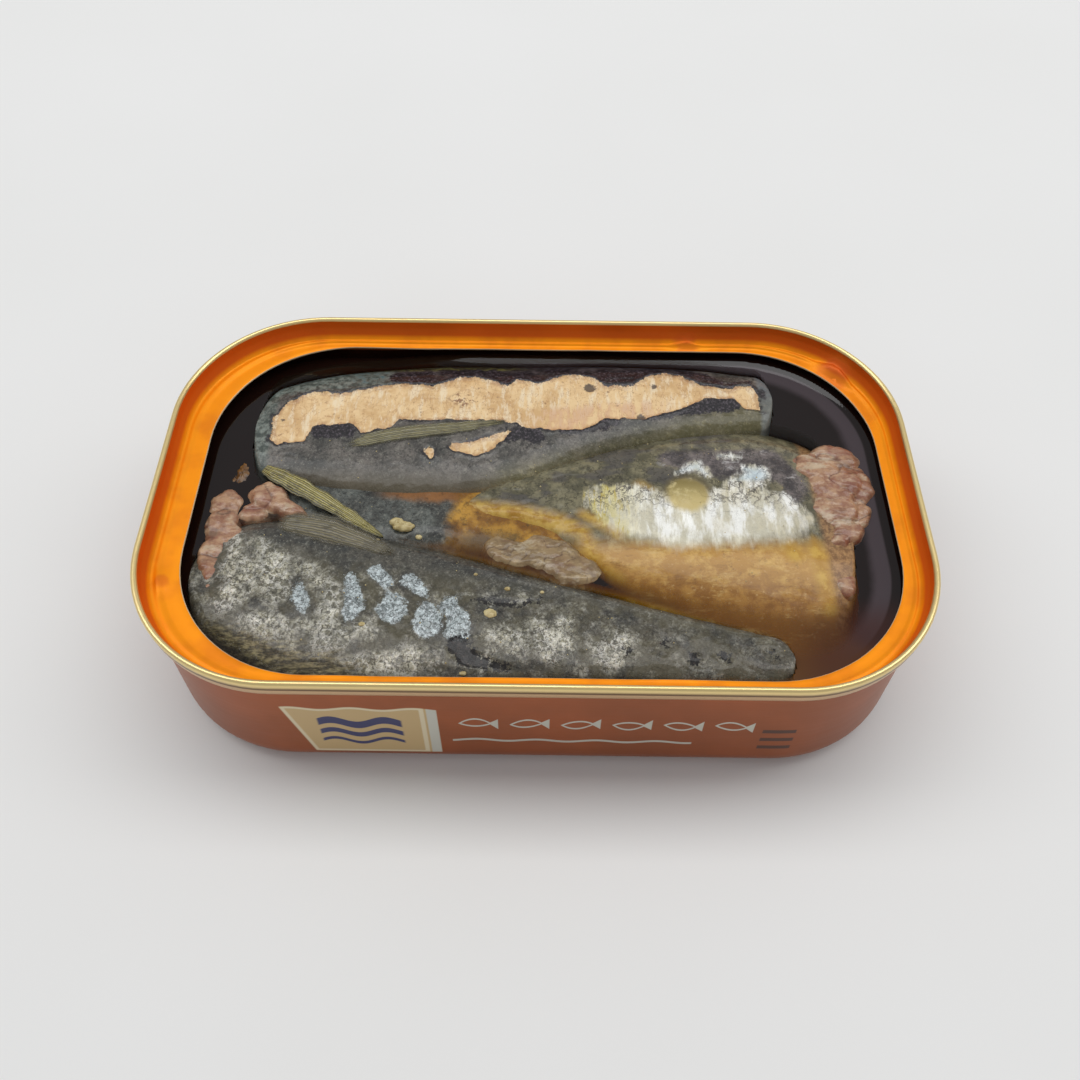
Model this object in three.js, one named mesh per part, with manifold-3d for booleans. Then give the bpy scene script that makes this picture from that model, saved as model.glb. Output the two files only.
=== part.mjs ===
// An opened tin of sardines: a shallow drawn can with round corners, the seamed ring that stays on it
// once the lid is pulled off, three headless sardines with loose fins, flesh and spice, and their oil.
// Millimetres, +Z up. The origin is the middle of the base, X runs along the tin, -Y is the label side.
import * as THREE from "three";
import { mergeVertices } from "three/addons/utils/BufferGeometryUtils.js";
import Module from "manifold-3d";

const wasm = await Module();
wasm.setup();

// Driving sizes of the tin
const TIN = { length: 105, width: 64, height: 24, corner: 20.4 };
const SHEET = 0.3; // the metal of can and ring
const SEAM = { thick: 1.3, height: 2.85 };
const WALL_INSET = 1.05; // the can's side below the seam, in from the seam's outer face
const FLANGE_INSET = 0.52; // the can's edge inside the seam
const BASE_FILLET = 2.2;
const LEDGE = { halfLength: 48.2, halfWidth: 29.0, corner: 18.9, z: 20.4 }; // what is left of the lid
const CLEAR = 0.3; // between pieces that touch
const CORNER_STEPS = 9;

// Driving sizes of the food
const OIL_LEVEL = 18.3;
const WIDEST_Z = 10; // height at which a fish is widest
const BULGE = 1.2; // how much wider a fish is there than at the oil's surface
const SECTION_SIDES = 18;
const SECTIONS = 20;
const END_SIZE = 0.72; // a fish's cut end, as a share of its section there
const END_SECTIONS = 1.5; // how many sections the rounding of an end takes
const RELIEF = 0.3;
const FLOOR = SHEET + CLEAR;

// Each fish by a few stations along its middle: x, y, half its width at the oil, and the height of its top
const BACK_FISH = [
  { x: -42.4, y: 13.3, half: 7.0, top: 18.9 },
  { x: -36, y: 14.2, half: 9.7, top: 19.2 },
  { x: -19, y: 14.8, half: 12.8, top: 19.4 },
  { x: -5, y: 15.6, half: 12.4, top: 19.4 },
  { x: 9, y: 19.0, half: 9.3, top: 19.5 },
  { x: 24, y: 20.4, half: 7.2, top: 19.4 },
  { x: 36.6, y: 20.0, half: 5.4, top: 19.1 },
];
const RIGHT_FISH = [
  { x: -9.6, y: -0.2, half: 2.0, top: 18.6 },
  { x: 0, y: 1.6, half: 5.8, top: 18.9 },
  { x: 10, y: -0.8, half: 12.2, top: 19.3 },
  { x: 24, y: -2.2, half: 15.8, top: 19.6 },
  { x: 37, y: -4.6, half: 17.2, top: 19.5 },
  { x: 45, y: -4.0, half: 12.0, top: 18.8 },
];
const FRONT_FISH = [
  { x: -45, y: -12.5, half: 6.0, top: 18.8 },
  { x: -41, y: -12.6, half: 8.8, top: 19.2 },
  { x: -33, y: -14.6, half: 11.4, top: 19.5 },
  { x: -20, y: -17.0, half: 11.0, top: 19.5 },
  { x: -7.6, y: -18.9, half: 9.2, top: 19.3 },
  { x: 13.8, y: -21.9, half: 6.0, top: 19.1 },
  { x: 33.6, y: -24.6, half: 3.0, top: 18.8 },
];
const LOW_FISH = [
  { x: -38, y: 1.6, half: 4.4, top: 18.5 },
  { x: -20, y: -1.4, half: 5.6, top: 18.7 },
  { x: -6, y: -3.4, half: 6.4, top: 18.8 },
  { x: 8, y: -7.6, half: 5.2, top: 18.7 },
];

// Torn flesh at the cut necks, as knobs with radii along X, Y and Z
const RIGHT_NECK = [
  { at: [43.2, 5.4, 15.4], size: [4.0, 5.4, 3.9] },
  { at: [45.4, -1.2, 15.6], size: [2.9, 4.4, 3.5] },
  { at: [43.4, -7.4, 15.6], size: [2.9, 3.8, 3.6] },
];
const FRONT_NECK = [
  { at: [-44.6, -8.6, 15.4], size: [2.6, 4.2, 3.6] },
  { at: [-43.0, -2.4, 15.8], size: [2.6, 3.4, 3.4] },
  { at: [-38.2, 0.8, 17.0], size: [4.0, 3.2, 2.4] },
];

// Loose pieces that lie on the fish
const LOOSE_FLESH = { at: [1.6, -9.4, 16.8], size: [7.2, 4.4, 2.6], turn: -0.42 };
const GARLIC = { at: [-18.4, -4.4, 18.6], size: [1.7, 1.2, 0.9], turn: -0.5 };
const CHILLI = { at: [-42.2, 4.8, 17.6], size: [1.4, 2.2, 1.6], turn: 0.3 };
const NECK_FIN = { from: [-38.6, 5.0, 18.8], to: [-20.4, -6.2, 18.7], root: 0.8, tip: 2.0, thick: 0.5 };
const SIDE_FIN = { from: [-29.6, 9.0, 18.8], to: [-5.2, 14.6, 18.8], root: 0.8, tip: 1.9, thick: 0.5 };
const DIMPLES = [
  { at: [22.6, 30.2, 20.5], radius: 1.5 },
  { at: [44.9, 24.4, 20.5], radius: 1.9 },
  { at: [-49.2, -15.4, 20.2], radius: 0.8 },
];

// A closed mesh from rows of points. With closed rows, the last row joins the first; otherwise both ends are capped.
function skin(rows, loops) {
  const count = rows[0].length;
  const position = rows.flat(2);
  const index = [];
  const last = loops ? rows.length : rows.length - 1;
  for (let r = 0; r < last; r++) {
    const next = (r + 1) % rows.length;
    for (let i = 0; i < count; i++) {
      const j = (i + 1) % count;
      index.push(r * count + i, r * count + j, next * count + j);
      index.push(r * count + i, next * count + j, next * count + i);
    }
  }
  if (!loops) {
    [rows[0], rows[rows.length - 1]].forEach((row, end) => {
      const first = end ? (rows.length - 1) * count : 0;
      const middle = position.length / 3;
      for (let axis = 0; axis < 3; axis++) position.push(row.reduce((sum, p) => sum + p[axis], 0) / count);
      for (let i = 0; i < count; i++) {
        const j = (i + 1) % count;
        index.push(middle, first + (end ? i : j), first + (end ? j : i));
      }
    });
  }
  const geometry = new THREE.BufferGeometry();
  geometry.setAttribute("position", new THREE.Float32BufferAttribute(position, 3));
  geometry.setIndex(index);
  return geometry;
}

// A three.js geometry as a solid that can be cut and joined, turned to face outwards
function solid(geometry) {
  const bare = geometry.clone();
  bare.deleteAttribute("normal");
  bare.deleteAttribute("uv");
  const merged = mergeVertices(bare, 1e-4);
  const vertProperties = new Float32Array(merged.attributes.position.array);
  const triVerts = new Uint32Array(merged.index.array);
  const made = new wasm.Manifold(new wasm.Mesh({ numProp: 3, vertProperties, triVerts }));
  if (made.volume() > 0) return made;
  return new wasm.Manifold(new wasm.Mesh({ numProp: 3, vertProperties, triVerts: triVerts.reverse() }));
}

// The largest body of a solid, without loose scraps
function largest(made) {
  return made.decompose().reduce((best, body) => (body.volume() > best.volume() ? body : best));
}

function meshOf(name, made, look) {
  const { vertProperties, triVerts } = largest(made).getMesh();
  const geometry = new THREE.BufferGeometry();
  geometry.setAttribute("position", new THREE.BufferAttribute(vertProperties, 3));
  geometry.setIndex(new THREE.BufferAttribute(triVerts, 1));
  geometry.computeVertexNormals();
  const mesh = new THREE.Mesh(geometry, new THREE.MeshStandardMaterial(look));
  mesh.name = name;
  return mesh;
}

// The tin's outline as seen from above: a rectangle with round corners, anticlockwise
function outline(halfLength, halfWidth, corner, z) {
  const points = [];
  for (let quarter = 0; quarter < 4; quarter++) {
    const signX = quarter === 0 || quarter === 3 ? 1 : -1;
    const signY = quarter < 2 ? 1 : -1;
    for (let step = 0; step <= CORNER_STEPS; step++) {
      const angle = (Math.PI / 2) * (quarter + step / CORNER_STEPS);
      points.push([
        signX * (halfLength - corner) + corner * Math.cos(angle),
        signY * (halfWidth - corner) + corner * Math.sin(angle),
        z,
      ]);
    }
  }
  return points;
}

function inset(distance, z) {
  return outline(TIN.length / 2 - distance, TIN.width / 2 - distance, TIN.corner - distance, z);
}

// A row of points part of the way from the ring's wall to the torn edge of the ledge
function ledgeRow(share, z) {
  const wall = inset(2.0, z);
  const edge = outline(LEDGE.halfLength, LEDGE.halfWidth, LEDGE.corner, z);
  return wall.map((p, i) => [p[0] + share * (edge[i][0] - p[0]), p[1] + share * (edge[i][1] - p[1]), z]);
}

function canBody() {
  const flangeTop = TIN.height - 1.15;
  const outside = [];
  const inside = [];
  const filletSteps = 4;
  for (let step = 0; step <= filletSteps; step++) {
    const angle = (Math.PI / 2) * (step / filletSteps);
    const inward = 1 - Math.sin(angle);
    const up = 1 - Math.cos(angle);
    outside.push(inset(WALL_INSET + BASE_FILLET * inward, BASE_FILLET * up));
    const innerFillet = BASE_FILLET - SHEET;
    inside.push(inset(WALL_INSET + SHEET + innerFillet * inward, SHEET + innerFillet * up));
  }
  const seamFoot = TIN.height - SEAM.height;
  outside.push(inset(WALL_INSET, seamFoot - 0.2), inset(FLANGE_INSET, seamFoot + 0.6), inset(FLANGE_INSET, flangeTop));
  inside.push(inset(WALL_INSET + SHEET, seamFoot - 0.2), inset(FLANGE_INSET + SHEET, seamFoot + 0.6));
  inside.push(inset(FLANGE_INSET + SHEET, flangeTop));
  return solid(skin([...outside, ...inside.reverse()], false));
}

function endRing() {
  const top = TIN.height;
  const foot = top - SEAM.height;
  const under = LEDGE.z - SHEET;
  const rows = [
    inset(0.08, foot),
    inset(0, foot + 0.3),
    inset(0, top - 0.5),
    inset(0.2, top - 0.13),
    inset(SEAM.thick / 2, top),
    inset(SEAM.thick - 0.2, top - 0.13),
    inset(SEAM.thick, top - 0.5),
    inset(1.72, 21.3),
    inset(1.84, 20.72),
    inset(2.0, 20.46),
    ledgeRow(0.2, 20.48),
    ledgeRow(0.34, LEDGE.z),
    ledgeRow(1, LEDGE.z),
    ledgeRow(1, under),
    ledgeRow(0.3, under),
    inset(1.86, 20.12),
    inset(1.6, 20.5),
    inset(1.46, 21.2),
    inset(SEAM.thick - SHEET + 0.06, top - 0.85),
    inset(0.3, top - 0.85),
    inset(0.3, foot),
  ];
  const sheet = solid(skin(rows, true));
  const above = solid(new THREE.BoxGeometry(TIN.length, TIN.width, 4).translate(0, 0, 22.3));
  const within = solid(skin([inset(1.5, 20.3), inset(1.5, 23.5)], false));
  const domes = DIMPLES.map(({ at, radius }) => {
    const ball = new THREE.SphereGeometry(radius, 12, 8).scale(1, 1, 0.72).translate(...at);
    return solid(ball).intersect(above).intersect(within);
  });
  return domes.reduce((made, dome) => made.add(dome), sheet);
}

// Room inside the can: up to the ledge it is as wide as the can, above that as wide as the mouth
function room(gap) {
  const side = WALL_INSET + SHEET + gap;
  const low = solid(skin([inset(side + 1.2, FLOOR), inset(side + 0.2, FLOOR + 1.6), inset(side, 4), inset(side, 19.6)], false));
  const high = skin(
    [
      outline(LEDGE.halfLength - gap, LEDGE.halfWidth - gap, LEDGE.corner - gap, 10),
      outline(LEDGE.halfLength - gap, LEDGE.halfWidth - gap, LEDGE.corner - gap, 30),
    ],
    false,
  );
  return low.add(solid(high));
}

// Smooth, repeatable unevenness from sines, between -1 and 1
function uneven(x, y, z) {
  return (
    Math.sin(0.52 * x + 0.9 * z) * Math.cos(0.61 * y) * 0.5 +
    Math.sin(1.13 * y + 0.4 * x) * Math.cos(0.97 * x - 0.8 * z) * 0.3 +
    Math.sin(1.9 * x + 1.3 * y) * 0.2
  );
}

// One fish body from its stations, in sections across the tin. A positive grow gives the same body
// larger all round, to cut its place out of what lies beside it.
function fish(stations, grow) {
  const middle = new THREE.CatmullRomCurve3(stations.map((s) => new THREE.Vector3(s.x, s.y, 0)));
  const sizes = new THREE.CatmullRomCurve3(stations.map((s) => new THREE.Vector3(s.half, s.top, 0)));
  const rows = [];
  for (let k = 0; k < SECTIONS; k++) {
    const share = k / (SECTIONS - 1);
    const centre = middle.getPoint(share);
    const { x: half, y: top } = sizes.getPoint(share);
    const fromEnd = Math.min(k, SECTIONS - 1 - k) / END_SECTIONS;
    const rounding = END_SIZE + (1 - END_SIZE) * Math.sqrt(1 - Math.max(0, 1 - fromEnd) ** 2);
    const x = centre.x + grow * (2 * share - 1);
    const row = [];
    for (let i = 0; i < SECTION_SIDES; i++) {
      const angle = (2 * Math.PI * i) / SECTION_SIDES;
      const c = Math.cos(angle);
      const s = Math.sin(angle);
      const height = s > 0 ? (top - WIDEST_Z) * (0.6 + 0.4 * rounding) : WIDEST_Z - FLOOR;
      const y = centre.y + Math.sign(c) * Math.sqrt(Math.abs(c)) * half * BULGE * rounding;
      const z = WIDEST_Z + Math.sign(s) * height * Math.abs(s) ** 0.6;
      const bump = RELIEF * uneven(centre.x, y, z) * Math.max(s, 0) + grow;
      row.push([x, y + c * bump, z + s * bump]);
    }
    rows.push(row);
  }
  return solid(skin(rows, false));
}

// An uneven knob of flesh or spice
function knob({ at, size, turn = 0 }, grow) {
  const geometry = new THREE.IcosahedronGeometry(1, 1);
  const place = geometry.attributes.position;
  for (let i = 0; i < place.count; i++) {
    const p = new THREE.Vector3().fromBufferAttribute(place, i);
    const swell = 1 + 0.16 * uneven(p.x * 5 + at[0], p.y * 5 + at[1], p.z * 5);
    place.setXYZ(i, p.x * (size[0] * swell + grow), p.y * (size[1] * swell + grow), p.z * (size[2] * swell + grow));
  }
  geometry.rotateZ(turn).translate(...at);
  return solid(geometry);
}

// A fin: a thin wavy fan from its narrow root to its wide tip
function fin({ from, to, root, tip, thick }, grow) {
  const start = new THREE.Vector3(...from);
  const end = new THREE.Vector3(...to);
  const along = end.clone().sub(start).normalize();
  const aside = new THREE.Vector3(-along.y, along.x, 0).normalize();
  const steps = 8;
  const across = 4;
  const rows = [];
  for (let k = 0; k <= steps; k++) {
    const share = k / steps;
    const half = (tip + (root - tip) * share) * Math.min(1, 0.55 + 2.2 * share) + grow;
    const centre = start.clone().lerp(end, share).addScaledVector(along, grow * (share * 2 - 1));
    const wave = 0.25 * Math.sin(share * 5);
    const row = [];
    for (const side of [1, -1]) {
      for (let i = 0; i <= across; i++) {
        const offset = side * (1 - (2 * i) / across);
        const ridge = 0.12 * Math.cos(offset * 9);
        const lift = wave + side * (thick / 2 + grow) * (1 - 0.6 * offset * offset) + ridge + 0.5 * (1 - offset * offset);
        row.push(centre.clone().addScaledVector(aside, offset * half).add(new THREE.Vector3(0, 0, lift)).toArray());
      }
    }
    rows.push(row);
  }
  return solid(skin(rows, false));
}

const inside = room(CLEAR);
const loose = {
  loose_flesh: (grow) => knob(LOOSE_FLESH, grow),
  garlic_bit: (grow) => knob(GARLIC, grow),
  chilli_bit: (grow) => knob(CHILLI, grow),
  neck_fin: (grow) => fin(NECK_FIN, grow),
  side_fin: (grow) => fin(SIDE_FIN, grow),
};
const withNeck = (body, knobs, grow) => knobs.reduce((made, one) => made.add(knob(one, grow)), body);
const fishes = {
  fish_front: (grow) => withNeck(fish(FRONT_FISH, grow), FRONT_NECK, grow),
  fish_back: (grow) => fish(BACK_FISH, grow),
  fish_right: (grow) => withNeck(fish(RIGHT_FISH, grow), RIGHT_NECK, grow),
  fish_low: (grow) => fish(LOW_FISH, grow),
};
const looks = {
  can_body: { color: 0xc06a3c, metalness: 0.7, roughness: 0.35 },
  end_ring: { color: 0xf08a1a, metalness: 0.6, roughness: 0.25 },
  oil: { color: 0x2a1710, metalness: 0, roughness: 0.05 },
  fish_front: { color: 0x5c5f5e, metalness: 0.3, roughness: 0.35 },
  fish_back: { color: 0x6a6a66, metalness: 0.2, roughness: 0.4 },
  fish_right: { color: 0xa59a6c, metalness: 0.4, roughness: 0.3 },
  fish_low: { color: 0x4e4a3a, metalness: 0.1, roughness: 0.35 },
  loose_flesh: { color: 0x8d7563, metalness: 0, roughness: 0.5 },
  garlic_bit: { color: 0xc9bb85, metalness: 0, roughness: 0.4 },
  chilli_bit: { color: 0x5a3a22, metalness: 0, roughness: 0.35 },
  neck_fin: { color: 0x6e6a3c, metalness: 0, roughness: 0.4 },
  side_fin: { color: 0x7a7448, metalness: 0, roughness: 0.4 },
};

const group = new THREE.Group();
group.add(meshOf("can_body", canBody(), looks.can_body), meshOf("end_ring", endRing(), looks.end_ring));

// Loose pieces keep their whole shape, and each fish gives way to them and to the fish before it.
const cutters = [];
for (const [name, make] of Object.entries(loose)) {
  const made = cutters.reduce((left, cutter) => left.subtract(cutter), make(0));
  group.add(meshOf(name, made, looks[name]));
  cutters.push(make(CLEAR));
}
for (const [name, make] of Object.entries(fishes)) {
  const made = cutters.reduce((left, cutter) => left.subtract(cutter), make(0).intersect(inside));
  group.add(meshOf(name, made, looks[name]));
  cutters.push(make(CLEAR));
}
const aboveOil = solid(new THREE.BoxGeometry(200, 200, 20).translate(0, 0, OIL_LEVEL + 10));
const oil = cutters.reduce((left, cutter) => left.subtract(cutter), inside.subtract(aboveOil));
group.add(meshOf("oil", oil, looks.oil));

export default group;
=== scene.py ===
"""An opened tin of sardines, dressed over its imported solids.

The printed can, the lacquered ring left by the pulled lid, four headless fish with bare flesh,
silver skin and scales, loose fins and crumbs, and dark oil that turns amber where it is thin.
Lengths in the shape functions are millimetres; meshes are made in metres.
"""

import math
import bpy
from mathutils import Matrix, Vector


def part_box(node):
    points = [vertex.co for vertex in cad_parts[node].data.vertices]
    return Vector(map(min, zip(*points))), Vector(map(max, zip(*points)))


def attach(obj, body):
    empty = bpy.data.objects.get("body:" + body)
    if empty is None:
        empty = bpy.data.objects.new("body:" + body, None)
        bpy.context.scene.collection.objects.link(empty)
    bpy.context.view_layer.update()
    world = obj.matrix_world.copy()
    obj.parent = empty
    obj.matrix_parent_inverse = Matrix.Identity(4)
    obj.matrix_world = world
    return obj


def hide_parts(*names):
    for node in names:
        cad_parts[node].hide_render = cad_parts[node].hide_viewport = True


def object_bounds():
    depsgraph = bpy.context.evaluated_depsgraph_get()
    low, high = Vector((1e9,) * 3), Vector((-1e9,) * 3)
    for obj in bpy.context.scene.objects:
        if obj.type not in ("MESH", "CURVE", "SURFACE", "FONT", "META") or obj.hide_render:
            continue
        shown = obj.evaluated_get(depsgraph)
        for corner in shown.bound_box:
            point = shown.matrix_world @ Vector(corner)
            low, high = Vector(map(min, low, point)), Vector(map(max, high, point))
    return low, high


bl_info = {
    "name": "Opened Sardine Tin",
    "version": (1, 0, 0),
    "blender": (4, 5, 0),
    "location": "3D View > Sidebar > Sardine Tin",
    "description": "Builds the can, its ring, the fish, the loose bits and the oil",
    "category": "Object",
}

import bpy
import numpy as np
from bpy.props import FloatProperty, FloatVectorProperty, PointerProperty
from mathutils import Quaternion, Vector

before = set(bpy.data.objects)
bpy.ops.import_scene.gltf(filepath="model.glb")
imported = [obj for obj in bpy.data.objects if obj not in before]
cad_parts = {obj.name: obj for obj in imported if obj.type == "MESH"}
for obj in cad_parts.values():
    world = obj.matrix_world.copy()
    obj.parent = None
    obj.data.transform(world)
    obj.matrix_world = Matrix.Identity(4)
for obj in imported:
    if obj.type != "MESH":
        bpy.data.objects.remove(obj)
CAD_BOX = [list(corner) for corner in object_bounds()]
MM = 0.001
TIN_LENGTH, TIN_WIDTH, TIN_HEIGHT = (high - low for low, high in zip(*CAD_BOX))

# Levels inside the tin, in millimetres above the table
FLOOR_Z = 0.6
WIDEST_Z = 10  # where a fish is widest
NO_FISH_Z = -5  # stands for the height where there is no fish
OIL_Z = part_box("oil")[1].z / MM
LEDGE_HALF = (48.2, 28.75, 18.9)  # half length, half width and corner radius of the torn edge
LEDGE_SHIFT = (0.8, 0.2)  # how far the opening lies off the tin's middle
BULGE = 1.2  # a fish's greatest width, as a multiple of its width at the oil


class Fish:
    """One headless fish: stations of x, y, half its width at the oil and the height of its top."""

    sides_below = 14

    def __init__(self, stations, ends, shape, sides=150):
        self.stations = stations
        self.ends = ends  # how far each cut end takes to round off
        self.shape = shape  # relief of the upper side, as a function of x and y
        self.sides = sides  # points across the upper side
        self.start, self.stop = stations[0][0], stations[-1][0]

    def plan(self, x):
        """Middle, greatest half width and top at x."""
        knots, middle, half, top = zip(*self.stations)
        inside = np.clip(x, self.start, self.stop)
        end = np.minimum((inside - self.start) / self.ends[0], (self.stop - inside) / self.ends[1])
        rounding = (1 - (1 - np.clip(end, 0, 1)) ** 2.6) ** (1 / 2.6)
        width = spline(knots, half, inside) * BULGE * rounding
        return spline(knots, middle, inside), width, spline(knots, top, inside)

    def height(self, x, y):
        """Height of the upper side over (x, y), and below the floor beside the fish."""
        middle, width, top = self.plan(x)
        side = (y - middle) / np.maximum(width, 1e-3)
        dome = np.clip(1 - side**4, 0, 1) ** 0.3
        height = WIDEST_Z + (top - WIDEST_Z + self.shape(x, y)) * dome
        within = (x > self.start) & (x < self.stop) & (np.abs(side) < 1)
        return np.where(within, height, NO_FISH_Z)

    def grid(self, along=0.3):
        """Points of the closed body, finest on its upper side."""
        near = np.array([0, 0.01, 0.04, 0.1, 0.2, 0.34, 0.52, 0.74])
        middle = np.arange(self.start + 1, self.stop - 1, along)
        x = np.concatenate([self.start + near, middle, self.stop - near[::-1]])
        upper = np.linspace(0, math.pi, self.sides)
        lower = np.linspace(math.pi, 2 * math.pi, self.sides_below)[1:-1]
        grid_x, angle = np.meshgrid(x, np.concatenate([upper, lower]), indexing="ij")
        centre, width, top = self.plan(grid_x)
        cosine, sine = np.cos(angle), np.sin(angle)
        grid_y = centre + np.sign(cosine) * np.sqrt(np.abs(cosine)) * width
        rise = np.abs(sine) ** 0.6
        above = (top - WIDEST_Z + self.shape(grid_x, grid_y)) * rise
        grid_z = WIDEST_Z + np.where(sine > 0, above, -(WIDEST_Z - FLOOR_Z) * rise)
        return np.stack([grid_x, grid_y, grid_z], -1)


def paint(red, green, blue):
    """A screen colour from 0 to 255 as the linear colour that a shader takes."""
    values = [c / 255 for c in (red, green, blue)]
    return tuple(c / 12.92 if c < 0.04045 else ((c + 0.055) / 1.055) ** 2.4 for c in values) + (1,)


def colour_property(name, description, screen):
    return FloatVectorProperty(
        name=name, description=description, subtype="COLOR", size=4, min=0, max=1, default=paint(*screen)
    )


def length_property(name, description, metres):
    return FloatProperty(
        name=name, description=description, default=metres, subtype="DISTANCE", unit="LENGTH"
    )


class TinSettings(bpy.types.PropertyGroup):
    """Sizes and finishes of the can and its ring"""

    length: length_property("Length", "Over the seam, along X", TIN_LENGTH)
    width: length_property("Width", "Over the seam, along Y", TIN_WIDTH)
    height: length_property("Height", "From the base to the top of the seam", TIN_HEIGHT)
    corner: length_property("Corner radius", "Outside radius of the seam's corners", 0.0204)
    wall_inset: length_property("Wall inset", "How far the side stands in from the seam", 0.00105)
    fillet: length_property("Base fillet", "Radius between the side and the base", 0.0038)
    copper: colour_property("Print", "Metallic print of the side", (166, 86, 36))
    cream: colour_property("Pale field", "Pale field on the front", (204, 174, 122))
    silver: colour_property("Silver print", "Silver strip and lines", (205, 203, 190))
    ink: colour_property("Dark print", "Blue-black lines", (40, 44, 96))
    band: colour_property("Bare band", "Pale lacquer under the seam", (206, 176, 122))
    gold: colour_property("Gold lacquer", "The seam's lacquer", (238, 212, 150))
    orange: colour_property("Orange lacquer", "Lacquer inside the ring", (255, 154, 6))


class FishSettings(bpy.types.PropertyGroup):
    """Colours of skin, scales and flesh"""

    slate: colour_property("Slate skin", "Dark back skin", (54, 54, 50))
    ash: colour_property("Ash skin", "Paler grey skin", (128, 130, 124))
    plum: colour_property("Torn edge", "Dark purple edge of torn skin", (48, 38, 46))
    silver: colour_property("Silver", "Silvery skin", (236, 234, 220))
    blue: colour_property("Blue scale", "Bluish scales", (226, 236, 238))
    gold: colour_property("Gold", "Golden belly skin", (206, 168, 74))
    olive: colour_property("Olive", "Olive skin near the back", (104, 96, 48))
    tan: colour_property("Tan belly", "Golden-tan belly", (184, 138, 66))
    amber: colour_property("Amber", "Skin stained by oil", (128, 84, 20))
    cream: colour_property("Cream flesh", "Bare flesh of the back", (236, 204, 154))
    pink: colour_property("Pink flesh", "Cut flesh of the necks", (176, 138, 106))


class OilSettings(bpy.types.PropertyGroup):
    """The oil's look and its rise at the walls"""

    rise: length_property("Rise", "How far the oil climbs at the ring", 0.0011)
    reach: length_property("Reach", "How far from the ring the climb fades", 0.0019)
    thin: colour_property("Thin oil", "Colour of a thin film", (128, 84, 20))
    mid: colour_property("Middling oil", "Colour of a few millimetres", (78, 38, 6))
    deep: colour_property("Deep oil", "Colour of deep oil", (22, 11, 8))


class StageSettings(bpy.types.PropertyGroup):
    """Floor and light"""

    floor: colour_property("Floor", "Plain pale floor", (238, 237, 235))
    sky: FloatProperty(name="Room light", description="Strength of the even light", default=0.44, min=0)
    soft_box: FloatProperty(name="Soft box", description="Power of the overhead light", default=12.3, min=0)


SETTINGS = {
    "tin_settings": TinSettings,
    "fish_settings": FishSettings,
    "oil_settings": OilSettings,
    "stage_settings": StageSettings,
}


# Shader expressions


def maths(operation, swapped=False):
    """An operator that adds one Math node, with its two sides swapped for a reflected form."""

    def operate(self, other):
        first, second = (other, self) if swapped else (self, other)
        return self.kit.math(operation, first, second)

    return operate


class Wire:
    """A shader socket that Python operators turn into Math nodes."""

    __add__, __radd__ = maths("ADD"), maths("ADD", True)
    __sub__, __rsub__ = maths("SUBTRACT"), maths("SUBTRACT", True)
    __mul__, __rmul__ = maths("MULTIPLY"), maths("MULTIPLY", True)
    __truediv__ = maths("DIVIDE")

    def __init__(self, kit, socket):
        self.kit, self.socket = kit, socket

    def __abs__(self):
        return self.kit.math("ABSOLUTE", self)

    def lay(self, colour, share):
        """Lays a colour over this one, as far as its share says."""
        self.socket = self.kit.mix(self, colour, share).socket

    def fleck(self, colour, value, low, high, strength=1):
        """Lays a colour where a value passes from low to high."""
        self.lay(colour, self.kit.step(value, low, high) * strength)


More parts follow.
